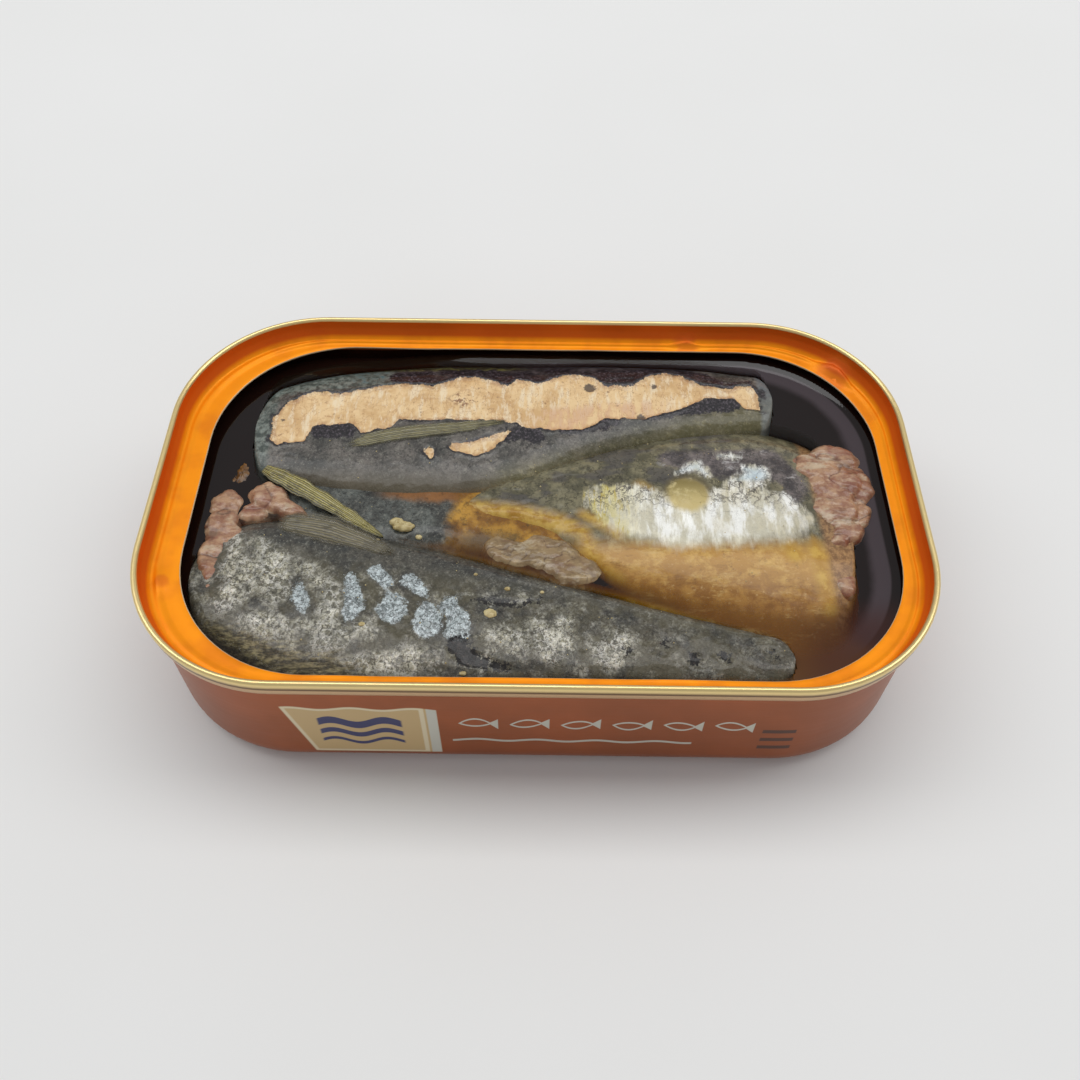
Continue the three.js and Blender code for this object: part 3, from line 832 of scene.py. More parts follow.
def front_shape(x, y):
    patch = np.minimum(front_silver(x, y), front_blue(x, y))
    plate = 0.06 * (1 - smooth(patch, -0.4, 0.3))
    scale = 0.07 * (1 - smooth(cell_distance(x, y, 3, 61), 0.25, 0.7)) * smooth(-y, 9, 14)
    cut = np.exp(-(np.clip(stroke(x, y, *FRONT_TEAR) + 0.3, 0, 9) ** 2) / 0.12)
    crack = np.exp(-(np.clip(stroke(x, y, *FRONT_CRACK) + 0.1, 0, 9) ** 2) / 0.05)
    tail = smooth(x, 10, 20) * 0.16 * (folds(x, y, 2.8, 71) - 0.6)
    pits = pit_relief(x, y, FRONT_PITS)
    return skin_relief(x, y, 61) + plate + scale + tail - 0.22 * cut - 0.15 * crack - 0.35 * pits


def front_torn(x, y):
    """Signed distance to the pits and tears."""
    return np.minimum(pit_field(FRONT_PITS)(x, y) + 0.3, strokes(x, y, FRONT_TEAR, FRONT_CRACK))


def low_shape(x, y):
    lump = np.clip(1 - (np.hypot(x + 14.6, y + 4.6) / 3.6) ** 2, 0, 1)
    return skin_relief(x, y, 81) * 1.2 + 0.8 * lump**0.7


FISH = {
    "back": Fish(
        ((-41.8, 13.8, 8.2, 18.9), (-36, 14.2, 10, 19.2), (-19, 14.4, 12.6, 19.4), (-5, 15.4, 12.2, 19.4),
         (9, 19, 8.9, 19.5), (24, 20.4, 7, 19.4), (35.4, 20.4, 5.6, 19.1)),
        (3, 2.2), back_shape,
    ),
    "right": Fish(
        ((-9.6, 0.4, 2.6, 18.1), (0, 1.6, 5.8, 18.6), (8, 0, 10, 19.1), (14, -1.2, 13, 19.4),
         (24, -2, 15.8, 19.7), (37, -4.6, 17.2, 19.6), (43.6, -4.4, 14.2, 18.8)),
        (5, 4), right_shape, 190,
    ),
    "front": Fish(
        ((-46.6, -12.2, 6.4, 18), (-44.2, -12.8, 7.8, 18.6), (-41, -13, 9.2, 19.2), (-33, -14.8, 11.6, 19.5),
         (-20, -17.2, 11, 19.5), (-7.6, -18.9, 9.3, 19.3), (13.8, -21.9, 6.1, 19.1), (33.2, -24.6, 3.4, 18.8)),
        (4.5, 2.4), front_shape,
    ),
    "low": Fish(
        ((-38, 1.8, 4.6, 17.9), (-24, -1.2, 5.8, 18.1), (-12, -1.4, 6.4, 18), (0, -3.6, 6.6, 17.9),
         (8, -7.6, 5.2, 17.8)),
        (5, 5), low_shape, 90,
    ),
}


def fish_piece(name, which, slot, finish, **fields):
    """A fish's mesh, with its named distances kept on its points for the finish."""
    grid = FISH[which].grid()
    x, y = grid[..., 0], grid[..., 1]
    kept = {key: np.clip(field(x, y), -4, 4) for key, field in fields.items()}
    piece = grid_object(name, grid, close_columns=True, attributes=kept)
    return dress(piece, slot, finish, "fish_" + which)


def wet_skin(kit, base, rough, metal, height, bump=0.07, film_and_sheen=0.5):
    """Closes a finish with the film of oil that wets everything."""
    return kit.close(
        base_color=base, roughness=rough, metallic=metal, specular_ior_level=0.3, coat_weight=film_and_sheen,
        coat_roughness=0.13, coat_ior=1.45, normal=kit.bump(height, bump, 0.8),
    )


def slate_skin(kit, fish, pale):
    """Mottled dark skin, and the speckle and the grain in it."""
    cloud = kit.noise(4, 5, 0.65, seed=1)
    speck = kit.noise(0.9, 5, 0.75, seed=2)
    grain = kit.noise(0.35, 4, 0.75, seed=5)
    base = kit.blend(fish.slate, pale, cloud, 0.36, 0.64)
    base.fleck((150, 148, 136), speck, 0.54, 0.7, 0.45)
    base.fleck((24, 23, 22), speck, 0.48, 0.36, 0.7)
    base.lay((16, 15, 15), kit.veins(1.6, 0.014, seed=3) * 0.7)
    base.fleck((170, 168, 154), grain, 0.54, 0.66, 0.35)
    base.fleck((14, 13, 13), grain, 0.46, 0.34, 0.6)
    return base, speck, grain


def back_finish(fish):
    kit = Finish("back_fish_skin")
    x, y, _ = kit.axes()
    base, speck, grain = slate_skin(kit, fish, (110, 104, 97))
    jitter = speck - 0.5
    scales = kit.step(kit.cells(1.3, "DISTANCE_TO_EDGE", kit.warp(1, 0.5, 18)), 0, 0.1)
    base.lay((60, 56, 52), (1 - scales) * 0.3)
    low = kit.step(y + x * 0.02 + jitter * 2, 6.4, 2.6)
    base.lay((84, 74, 52), low * 0.8)
    olive = kit.step(x + jitter * 4, -11, -2) * kit.step(y - x * 0.36, 10, 6)
    base.lay(kit.blend(fish.olive, (134, 124, 76), speck, 0.5, 0.62), olive * 0.55)
    cap = kit.step(x + jitter * 2, -38.6, -39.8)
    crown = kit.step(y - x * 0.12 + jitter * 2, 24, 25.6) * kit.step(x, -20, -25)
    ashen = kit.blend((66, 78, 72), (134, 144, 136), speck, 0.42, 0.6)
    base.lay(ashen, (cap + crown) * 0.75)
    teal = kit.band(x, -29, -27.5, -22.5, -24) * kit.step(y, 22.4, 23)
    base.lay((60, 96, 104), teal * kit.step(speck, 0.5, 0.6) * 0.8)
    tail = kit.step(x + jitter, 33, 33.8)
    base.lay(kit.mix((76, 84, 88), (140, 148, 152), speck), tail * 0.55)
    above = kit.step(y + jitter * 1.4, 22.4, 23.4) * kit.step(x + speck * 2, -22, -20.6)
    above = above * kit.step(x, 26, 22)
    base.lay(kit.blend((34, 28, 32), (86, 78, 80), speck, 0.44, 0.64), above * 0.85)
    ridge = kit.step(y - abs(x + 18) * 0.03 + jitter * 1.4, 25.6, 26.4) * kit.step(x, 0, -6)
    base.lay(kit.blend((50, 44, 28), (122, 116, 58), speck, 0.46, 0.6), ridge * 0.8)
    ragged = (kit.noise(1, 6, 0.85, seed=9) - 0.5) * 3.6
    torn = kit.blend((22, 18, 22), (92, 84, 90), grain, 0.48, 0.66)
    base.lay(torn, kit.inside(kit.attribute("dark") + ragged - 0.15, 0.1))
    edge = kit.attribute("flesh") + ragged * 0.3 + (grain - 0.5) * 0.5
    crusty = kit.step(edge, 1.6, 0.9) * kit.step(y - x * 0.02, 19, 20) * kit.step(x, -24, -20)
    base.lay(torn, crusty * kit.step(kit.noise(1.3, 5, 0.8, seed=36), 0.42, 0.5) * 0.9)
    lip = kit.step(edge, 0.6, 0.3) * kit.step(kit.noise(2.4, 3, seed=10), 0.38, 0.5)
    base.lay(torn, lip * 0.85)
    blocks = kit.noise(1.2, 4, 0.7, (1, 0.26, 1), 7)
    fibre = kit.noise(0.6, 5, 0.75, (0.2, 1, 1), 6)
    meat = kit.blend(fish.cream, (212, 174, 122), kit.noise(5, 5, 0.7, seed=8), 0.42, 0.62)
    meat.fleck((244, 228, 196), blocks, 0.48, 0.62, 0.7)
    meat.fleck((182, 134, 92), fibre, 0.54, 0.7, 0.5)
    meat.lay((168, 122, 82), kit.veins(1.4, 0.012, (1, 0.4, 1), 19) * 0.6)
    rosy = kit.band(x, -3, 3, 22, 14) * kit.step(y - x * 0.12, 18.6, 16.6)
    meat.lay((208, 156, 116), rosy * kit.step(blocks, 0.42, 0.56) * 0.6)
    spots = kit.step(kit.noise(0.7, 5, 0.75, seed=11), 0.57, 0.64)
    spots = spots * kit.step(kit.noise(5, 2, seed=12), 0.48, 0.6)
    blood = kit.step(abs(x + 11.4) / 2.6 + abs(y - 19.6) / 2.2, 1.2, 0.6)
    spots = spots * 0.8 + blood * kit.step(speck, 0.5, 0.56)
    meat.lay((116, 68, 46), spots * 0.8)
    near = kit.step(edge, -1, -0.1)
    meat.lay((168, 120, 80), near * kit.step(speck, 0.42, 0.58) * 0.7)
    bare = kit.inside(edge, 0.04)
    base.lay(meat, bare)
    # Painted shade: the small holes are painted dark grey.
    pits = kit.inside(kit.attribute("pits") + ragged * 0.4, 0.12)
    base.lay((62, 54, 54), pits * 0.85)
    height = grain * 0.5 + speck * 0.9 + fibre * bare * 0.8 + (1 - scales) * (1 - bare) * 0.3
    return wet_skin(kit, base, 0.46 + bare * 0.08, (1 - bare) * kit.step(speck, 0.5, 0.8) * 0.35, height)


def front_finish(fish):
    kit = Finish("front_fish_skin")
    x, y, _ = kit.axes()
    base, speck, grain = slate_skin(kit, fish, (88, 84, 74))
    jitter = speck - 0.5
    lower = kit.step(y + x * 0.15 + jitter * 3, -12.5, -17.5)
    base.lay((92, 86, 64), lower * kit.step(kit.noise(3, 3, seed=13), 0.36, 0.6) * 0.7)
    wander = (kit.noise(1.2, 5, 0.75, seed=4) - 0.5) * 3.4
    dull = kit.blend((76, 74, 64), (130, 127, 110), speck, 0.42, 0.6)
    crinkle = kit.veins(0.8, 0.045, kit.warp(0.8, 0.7, 20), 21)
    glint = kit.veins(0.5, 0.07, kit.warp(0.6, 0.8, 25), 26)
    glow = kit.step(kit.noise(1.9, 6, 0.72, seed=24), 0.36, 0.66)
    leaf = kit.mix(dull, (190, 184, 156), 0.1 + glow * 0.7)
    leaf.lay(fish.silver, glint * (0.15 + glow * 0.5))
    leaf.lay((44, 41, 32), crinkle * 0.8)
    over = kit.warp(1.4, 0.9, 33)
    tone = kit.node("ShaderNodeRGBToBW", sockets={0: kit.cells(3, "F1", over, "Color")})
    leaf.fleck(dull, tone, 0.56, 0.4, 0.75)
    rim = kit.step(kit.cells(3, "DISTANCE_TO_EDGE", over), 0.07, 0)
    leaf.lay((58, 55, 46), rim * 0.55)
    sparkle = kit.veins(1.1, 0.06, kit.warp(1, 1.3, 40), 41)
    leaf.lay((250, 248, 238), sparkle * (0.1 + glow * 0.6))
    flare = kit.step(kit.noise(2.6, 3, 0.6, seed=35), 0.5, 0.66) * kit.step(speck, 0.44, 0.56)
    leaf.lay((236, 233, 218), flare * (1 - crinkle) * 0.45)
    shine = glint * glow * (1 - crinkle)
    plates = kit.blend((116, 122, 120), (176, 187, 187), speck, 0.38, 0.6)
    plates.lay(fish.blue, glint * 0.4 + sparkle * 0.5)
    plates.lay((56, 61, 60), crinkle * 0.75)
    all_over = kit.step(kit.noise(2.8, 4, 0.7, seed=14), 0.46, 0.64) * lower
    all_over = all_over * (1 - kit.step(x, 4, 20) * 0.5)
    base.lay(leaf, all_over * 0.6)
    silver = kit.inside(kit.attribute("silver") + wander * 0.7 - 0.2, 0.9)
    base.lay(leaf, silver)
    outline = kit.attribute("blue") + jitter * 2.4 + (grain - 0.5) * 1.2
    blue = kit.inside(outline - 0.15, 0.14)
    base.lay((44, 45, 43), (kit.inside(outline - 0.7, 0.3) - blue) * 0.3)
    base.lay(plates, blue)
    streaks = kit.noise(0.5, 5, 0.75, (0.2, 1, 1), 34)
    bronze = kit.step(y + x * 0.32 + jitter * 2, -31.5, -35) * kit.step(x, -18, -24)
    base.lay(kit.blend((56, 49, 34), (156, 144, 104), streaks, 0.42, 0.64), bronze * 0.85)
    # Painted shade: the pits and tears are painted near black, as deep holes.
    pits = kit.inside(kit.attribute("torn") + jitter * 4.8 + (grain - 0.5) * 2 - 0.1, 0.12)
    base.lay(kit.blend((14, 11, 11), (52, 42, 38), grain, 0.5, 0.64), pits * 0.95)
    bright = silver * shine + blue * glint
    height = grain * 0.6 + speck * 0.9 + bright * 0.5 - crinkle * lower * 0.8
    return wet_skin(kit, base, 0.5 - bright * 0.18, bright * 0.6, height)


def right_finish(fish):
    kit = Finish("right_fish_skin")
    x, y, _ = kit.axes()
    mottle = kit.noise(1.8, 5, 0.7, seed=4)
    speck = kit.noise(0.7, 5, 0.75, seed=2)
    grain = kit.noise(0.3, 4, 0.7, seed=5)
    wander = (mottle - 0.5) * 3
    base = kit.blend((84, 80, 60), (126, 119, 92), mottle, 0.4, 0.62)
    base.fleck((74, 70, 70), kit.noise(4.2, 3, 0.6, (0.5, 1, 1), 43), 0.5, 0.6, 0.7)
    base.fleck((52, 48, 38), speck, 0.46, 0.34, 0.6)
    base.lay((48, 44, 30), kit.veins(2.6, 0.02, kit.warp(1.6, 1.2, 21), 22) * 0.7)
    cream = kit.step(y + wander * 0.5, -5, -9)
    base.lay(kit.blend(fish.tan, (208, 168, 92), mottle, 0.46, 0.66), cream)
    grit = kit.noise(1, 6, 0.8, seed=31)
    tan = kit.step(y + x * 0.1 + wander * 0.4, -7, -13)
    base.lay(kit.blend((134, 88, 26), (164, 118, 48), mottle, 0.4, 0.6), tan * cream)
    deep = kit.step(y + x * 0.1 + wander * 0.4, -11, -17)
    base.lay(kit.mix(fish.amber, (116, 74, 26), mottle), deep * 0.9)
    base.lay((214, 184, 130), kit.step(grit, 0.56, 0.7) * cream * 0.5)
    base.lay((96, 62, 28), kit.step(grit, 0.46, 0.32) * cream * 0.5)
    run = kit.noise(1.3, 5, 0.75, (0.28, 1, 1), 42)
    base.lay((208, 174, 108), kit.step(run, 0.53, 0.66) * cream * 0.55)
    base.lay((122, 78, 18), kit.step(run, 0.47, 0.34) * cream * 0.6)
    neck = kit.step(x + wander * 0.4 + y * 0.06, 38.4, 39.6)
    base.lay(kit.blend((112, 78, 48), (170, 130, 86), speck, 0.4, 0.62), neck * 0.85)
    dusk = kit.inside(kit.attribute("dusk") + wander, 0.7)
    purple = kit.blend((60, 54, 56), (124, 114, 112), mottle, 0.36, 0.66)
    purple.lay((34, 30, 32), kit.veins(1.2, 0.03, seed=23) * 0.7)
    folded = kit.noise(1.6, 4, 0.7, (0.5, 1, 1), 37)
    purple.fleck((196, 192, 190), folded, 0.56, 0.66, 0.6)
    base.lay(purple, dusk * 0.9)
    gold = kit.inside(kit.attribute("gold") + wander * 0.35, 1.1)
    base.lay(kit.blend(fish.gold, (170, 122, 12), mottle, 0.4, 0.6), gold * 0.85)
    ragged = kit.noise(1, 4, 0.7, (1, 0.35, 1), 39)
    shore = kit.attribute("silver") + wander * 0.6 + (ragged - 0.5) * 3.4 * kit.step(y, -8, 0)
    low = kit.step(y, -1, -6)
    silver = kit.inside(shore, 0.6) * (1 - low) + kit.inside(shore + (ragged - 0.5) * 3.6 + 0.5, 1.5) * low
    streak = kit.noise(1.3, 5, 0.6, (1, 0.3, 1), 12)
    leaf = kit.blend((206, 200, 178), (250, 249, 242), streak, 0.42, 0.6)
    cloudy = kit.step(kit.noise(5, 3, 0.6, seed=38), 0.5, 0.66)
    leaf.lay((220, 208, 174), cloudy * 0.35)
    yellow = kit.step(x + wander, 17, 9) + kit.step(y + wander * 0.4, -5, -9) * 0.6
    leaf.lay((204, 190, 112), yellow * kit.step(streak, 0.42, 0.58) * 0.85)
    upper = kit.step(y + wander * 0.7, -4, 2.4)
    creases = kit.veins(2.2, 0.035, kit.warp(1.4, 1.4, 15), 16)
    shade = kit.step(ragged, 0.52, 0.64)
    leaf.lay((96, 92, 86), (creases * 0.85 + shade * 0.6) * (0.06 + upper * 0.94))
    hairs = kit.veins(0.8, 0.02, seed=17)
    leaf.lay((110, 102, 86), hairs * (0.12 + upper * 0.6))
    lines = kit.veins(1.6, 0.025, (1, 0.16, 1), 24) * kit.step(x + wander, 15, 10)
    leaf.lay((190, 168, 70), lines * 0.8)
    ice = kit.inside(kit.attribute("silver") + 0.6, 0.8) * kit.step(y, 3.4, 4.6)
    leaf.lay((206, 222, 228), ice * 0.8)
    base.lay(leaf, silver)
    blob = kit.inside(kit.attribute("blob") + (ragged - 0.5) * 1.2, 0.7)
    # Painted shade: the drop is painted darker towards its back and paler towards its front, and a dark rim is
    # laid round its back side.
    drop = kit.blend((134, 118, 66), (202, 182, 122), y * -1 + wander * 0.4, -3.6, 0.6)
    drop.fleck((222, 206, 152), mottle, 0.52, 0.62, 0.5)
    base.lay(drop, blob)
    ring = kit.inside(kit.attribute("blob") - 0.6, 0.4) * kit.step(y, 0.4, 2.4) * (1 - blob)
    base.lay((84, 74, 52), ring * 0.7)
    crumbs = kit.step(speck, 0.62, 0.7) * (1 - silver)
    base.lay((206, 180, 118), crumbs * 0.45)
    height = grain * 0.3 + speck * 0.6 + silver * (streak * 0.3 - creases * 0.9 * upper)
    return wet_skin(kit, base, 0.42 - silver * 0.1, silver * (1 - blob) * 0.25, height, 0.09, 0.4)


def low_finish(fish):
    kit = Finish("low_fish_skin")
    x, y, _ = kit.axes()
    base, speck, grain = slate_skin(kit, fish, (108, 112, 106))
    mottle = kit.noise(2.4, 4, 0.65, seed=4)
    # Reddish brown along the upper side of the low fish's left end, where it meets the back fish: partly the
    # skin's reddish line, partly a painted shade line.
    red_brown = kit.step(y + x * 0.08 + (mottle - 0.5) * 2, -1.2, 0.4)
    base.lay(kit.mix((116, 76, 44), (150, 100, 48), mottle), red_brown * kit.step(x, -24, -19))
    warm = kit.step(x + (mottle - 0.5) * 5, -13.4, -10.4)
    stained = kit.blend(fish.amber, (190, 142, 52), kit.noise(3, 3, seed=15), 0.42, 0.62)
    stained.fleck((110, 88, 40), kit.noise(1.4, 4, 0.7, seed=16), 0.54, 0.68, 0.7)
    base.lay(stained, warm)
    dark = kit.band(x, -13, -9, -1, -5) * kit.step(y, -3.4, -6)
    base.lay((78, 72, 50), dark * 0.8)
    base = kit.weather(base, 1.1, 30, 0.7)
    return wet_skin(kit, base, 0.45, 0.05, speck + grain * 0.6)


def make_fish(fish):
    fish_piece("back_fish", "back", "back_fish_skin", back_finish(fish),
               flesh=back_flesh, dark=back_dark, pits=pit_field(BACK_PITS))
    fish_piece("front_fish", "front", "blue_fish_skin", front_finish(fish),
               silver=front_silver, blue=front_blue, torn=front_torn)
    fish_piece("right_fish", "right", "belly_skin", right_finish(fish),
               silver=right_silver, dusk=right_dusk, gold=right_gold, blob=drawn((RIGHT_BLOB,)))
    fish_piece("low_fish", "low", "sunk_skin", low_finish(fish))


# Flesh, fins and crumbs


def dome_field(x, y, lumps):
    """Height over (x, y) of a heap of lumps, each x, y, radius along X, radius along Y, turn and top."""
    height = np.full_like(x, -9)
    for lx, ly, rx, ry, turn, top in lumps:
        c, s = math.cos(turn), math.sin(turn)
        u = ((x - lx) * c + (y - ly) * s) / rx
        v = (-(x - lx) * s + (y - ly) * c) / ry
        away = u * u + v * v
        height = np.maximum(height, top - 1.1 * away**3)
    return height


def flesh_patch(name, lumps, seed, coarse=1, spacing=0.2, sunk=15):
    """Torn flesh: a heap of lumps with folds and fibres, kept where it stands above its sunk height."""
    xs = [lump[0] for lump in lumps]
    ys = [lump[1] for lump in lumps]
    reach = max(max(lump[2:4]) for lump in lumps) * 1.6
    gx = np.arange(min(xs) - reach, max(xs) + reach, spacing)
    gy = np.arange(min(ys) - reach, max(ys) + reach, spacing)
    x, y = np.meshgrid(gx, gy, indexing="ij")
    bent_x = x + 0.5 * ripple(x, y, 2.8, seed + 5)
    bent_y = y + 0.5 * ripple(x, y, 2.8, seed + 6)
    height = dome_field(bent_x, bent_y, lumps)
    creases = folds(bent_x * 0.6, bent_y * 0.8, 3.4 * coarse, seed, 2)
    strands = folds(bent_x * 0.5 + bent_y * 0.8, bent_y * 0.5 - bent_x * 0.3, 1.2 * coarse, seed + 9, 2)
    height = height + 0.34 * coarse * (creases - 0.65) + 0.12 * coarse * (strands - 0.6)
    height = height + 0.03 * ripple(x, y, 0.5, seed + 2, 2)
    room = wall_distance(x, y)
    keep = (height > sunk) & (room > 0.4)
    shown = keep[:-1, :-1] | keep[1:, :-1] | keep[1:, 1:] | keep[:-1, 1:]
    shown &= (room > 0.2)[:-1, :-1]
    return relief_object(name, x, y, np.maximum(height, sunk), shown, crease=creases)


def wall_distance(x, y):
    """Distance in from the torn edge of the ledge, negative beyond it."""
    half_length, half_width, corner = LEDGE_HALF
    dx = np.abs(x - LEDGE_SHIFT[0]) - (half_length - corner)
    dy = np.abs(y - LEDGE_SHIFT[1]) - (half_width - corner)
    outside = np.hypot(np.maximum(dx, 0), np.maximum(dy, 0))
    return corner - outside - np.minimum(np.maximum(dx, dy), 0)


def flesh_finish(name, light, dark, pale, blood=0.5):
    kit = Finish(name)
    mottle = kit.noise(2, 5, 0.7, seed=3)
    fibre = kit.noise(0.9, 4, 0.65, (0.4, 1, 0.7), 4)
    crease = kit.attribute("crease")
    base = kit.blend(light, dark, mottle, 0.4, 0.6)
    base.fleck(pale, fibre, 0.5, 0.68, 0.6)
    base.fleck((104, 70, 52), fibre, 0.48, 0.34, 0.5)
    # Painted shade: the flesh is darkened in the creases between its folds.
    base.fleck((58, 36, 28), crease, 0.36, 0.06, 0.6)
    # Painted highlight: creamy streaks laid over the flesh.
    cream_highlight = kit.step(kit.noise(2.4, 4, 0.7, (0.5, 1, 1), 8), 0.55, 0.64)
    base.lay((200, 186, 158), cream_highlight * 0.5)
    base.lay((126, 68, 54), kit.step(kit.noise(3.4, 3, 0.6, seed=9), 0.5, 0.62) * blood)
    return wet_skin(kit, base, 0.42, 0, fibre * 0.9 + mottle * 0.6, 0.07, 0.7)


# Heaps of torn flesh: x, y, radius along X, radius along Y, turn and top of each lump
RIGHT_NECK = (
    (39.4, 7.2, 3.2, 2.4, -0.3, 19.5),
    (42.6, 9, 4, 2.8, 0.1, 19.3),
    (42.2, 4.4, 4.6, 3.8, 0.1, 19.5),
    (45.6, 4.6, 2.3, 4.2, 0.1, 19),
    (41.6, -0.6, 3.4, 3.6, 0, 19.5),
    (45.2, -1.2, 2, 2.6, -0.2, 19),
    (42.6, -5.2, 3, 1.8, 0.5, 19.5),
    (41.2, -10, 1.7, 4.8, 0.1, 18.7),
)
FRONT_NECK = (
    (-43.6, -4.4, 2.4, 3.6, 0, 19),
    (-43.8, -9.2, 2.1, 3.8, 0, 19.1),
    (-43.2, -13, 1.5, 2.8, 0.2, 19),
    (-43.8, -0.4, 2.6, 2.6, 0.2, 18.7),
    (-42, -5.6, 1.6, 2.6, 0.2, 18.9),
)
NECK_LUMP = (
    (-37.8, 0.4, 3.4, 2.3, -0.5, 19.2),
    (-34.6, -1.4, 2.8, 1.8, -0.4, 19.1),
    (-39.8, -2, 2.2, 1.8, 0.2, 18.7),
)
CENTRE_CHUNK = (
    (-3.2, -8, 4.2, 2.3, -0.3, 18.7),
    (2, -8.5, 4.8, 3.3, -0.3, 18.8),
    (5.2, -10.8, 3.7, 2.8, -0.5, 18.8),
)


def make_flesh(fish):
    pink = flesh_finish("neck_flesh", fish.pink, (142, 98, 74), (208, 178, 144))
    grey = flesh_finish("loose_flesh", (146, 122, 86), (120, 98, 66), (180, 156, 116), 0.1)
    dress(flesh_patch("right_neck_flesh", RIGHT_NECK, 91), "flesh", pink)
    dress(flesh_patch("front_neck_flesh", FRONT_NECK, 95), "flesh", pink)
    dress(flesh_patch("neck_lump", NECK_LUMP, 97), "flesh", pink)
    dress(flesh_patch("centre_chunk", CENTRE_CHUNK, 99, 0.5), "flesh", grey, "loose_flesh")


def fin_blade(name, route, half, thickness, rays, wave, seed):
    """A rayed fin along a route of (x, y, z) points, closed all round."""
    knots = np.linspace(0, 1, len(route))
    share = np.linspace(0, 1, 90)
    line = np.stack([spline(knots, [p[i] for p in route], share) for i in range(3)], -1)
    tangent = np.gradient(line, axis=0)
    tangent /= np.linalg.norm(tangent, axis=1, keepdims=True)
    aside = np.stack([-tangent[:, 1], tangent[:, 0], 0 * share], -1)
    across = np.linspace(-1, 1, 41)
    width = half * np.sin(math.pi * np.clip(0.06 + share * 0.94, 0, 1) ** 0.8) ** 0.55
    u, v = np.meshgrid(share, across, indexing="ij")
    edge = width[:, None] * (1 + 0.12 * ripple(u * 40, v * 0 + 3, 3, seed) * np.abs(v))
    flat = line[:, None, :] + aside[:, None, :] * (v * edge)[..., None]
    ridge = 0.035 * np.cos(v * rays) + wave * np.sin(u * 5 + v) + 0.05 * ripple(u * 30, v * 6, 1, seed + 1)
    body = thickness * (1 - 0.7 * v * v) / 2
    upper = flat + np.stack([0 * u, 0 * u, ridge + body], -1)
    under = flat + np.stack([0 * u, 0 * u, ridge - body], -1)
    rows = np.concatenate([upper, under[:, ::-1]], 1)
    attributes = {"across": np.concatenate([v, v[:, ::-1]], 1), "along": np.concatenate([u, u[:, ::-1]], 1)}
    return grid_object(name, rows, close_columns=True, attributes=attributes)


def fin_finish(name, light, dark, rays, fade=0):
    """Fine rays along a fin, with a painted highlight streak along one side and painted shade along the other
    edge; a fin that lies on the skin fades out at its edges.
    """
    kit = Finish(name)
    across = kit.attribute("across")
    bent = across + (kit.noise(3, 3, seed=1) - 0.5) * 0.25
    ray = kit.math("SINE", bent * rays)
    fine = kit.noise(0.5, 5, 0.75, seed=2)
    base = kit.blend(dark, light, ray + (fine - 0.5) * 2.4, -0.9, 1.1)
    base.fleck((60, 54, 34), kit.noise(2.2, 4, 0.7, seed=3), 0.48, 0.66, 0.6)
    # Painted highlight: a pale streak along one side of the fin. Painted shade: its other edge is darkened.
    base.lay((206, 196, 140), kit.inside(abs(across - 0.35), 0.22) * (0.1 if fade else 0.6))
    base.fleck((40, 36, 24), across * -1, 0.55, 0.9, 0.7)
    rim = 1 - kit.step(abs(across) + (fine - 0.5) * 0.4, 1 - fade, 1)
    tips = kit.band(kit.attribute("along"), 0, 0.12, 1, 0.85)
    alpha = rim * tips if fade else 1
    return kit.close(
        base_color=base, roughness=0.44, alpha=alpha, coat_weight=0.5, coat_roughness=0.14,
        normal=kit.bump(ray * 0.6 + fine, 0.06, 0.6),
    )


def make_fins(fish):
    olive = fin_finish("neck_fin", (178, 166, 92), (74, 66, 30), 26)
    dull = fin_finish("side_fin", (140, 132, 92), (84, 80, 54), 30, 0.5)
    grey = fin_finish("veil_fin", (128, 118, 88), (82, 77, 60), 44, 0.85)
    neck_route = ((-39.2, 5.6, 18.8), (-33.6, 2.1, 19.15), (-27.4, -1.9, 19), (-21, -6.2, 18.75))
    side_route = ((-28.4, 10, 19.1), (-21, 11.9, 19.5), (-12, 13.4, 19.5), (-3.6, 15.2, 19.2))
    veil_route = ((-36, -3.8, 18.85), (-30, -5, 19.15), (-24.6, -7, 19.35), (-18.6, -9.5, 19.2))
    dress(fin_blade("neck_fin_blade", neck_route, 1.4, 0.35, 13, 0.1, 3), "fin", olive, "neck_fin")
    dress(fin_blade("side_fin_blade", side_route, 1.6, 0.2, 16, 0.03, 5), "fin", dull, "side_fin")
    dress(fin_blade("veil_fin_blade", veil_route, 2.9, 0.16, 22, 0.03, 8), "fin", grey)


def pebble(x, y, z, size, seed, steps=18):
    """Points and faces of one small uneven crumb."""
    turn = np.linspace(0, 2 * math.pi, steps, endpoint=False)
    tilt = np.linspace(0.02, math.pi - 0.02, steps // 2)
    a, b = np.meshgrid(tilt, turn, indexing="ij")
    swell = 1 + 0.1 * ripple(np.cos(b) * 3 + a, np.sin(b) * 3 - a, 1.1, seed, 2)
    shell = np.stack([np.sin(a) * np.cos(b), np.sin(a) * np.sin(b), np.cos(a)], -1) * size
    points = (shell * swell[..., None]).reshape(-1, 3) + (x, y, z)
    index = np.arange(points.shape[0]).reshape(a.shape)
    wrapped = np.hstack([index, index[:, :1]])
    return points, squares(wrapped).reshape(-1, 4)


def crumb_object(name, crumbs):
    """Many crumbs joined into one mesh."""
    points, faces, first = [], [], 0
    for i, (x, y, z, size) in enumerate(crumbs):
        made, quads = pebble(x, y, z, size, 200 + i, 40 if max(size) > 0.8 else 14)
        points.append(made)
        faces.append(quads + first)
        first += len(made)
    return mesh_object(name, np.vstack(points), np.vstack(faces))


def crumb_finish(name, light, dark):
    kit = Finish(name)
    mottle = kit.noise(0.7, 4, 0.6, seed=3)
    base = kit.blend(light, dark, mottle, 0.4, 0.7)
    return wet_skin(kit, base, 0.4, 0, mottle, 0.08)


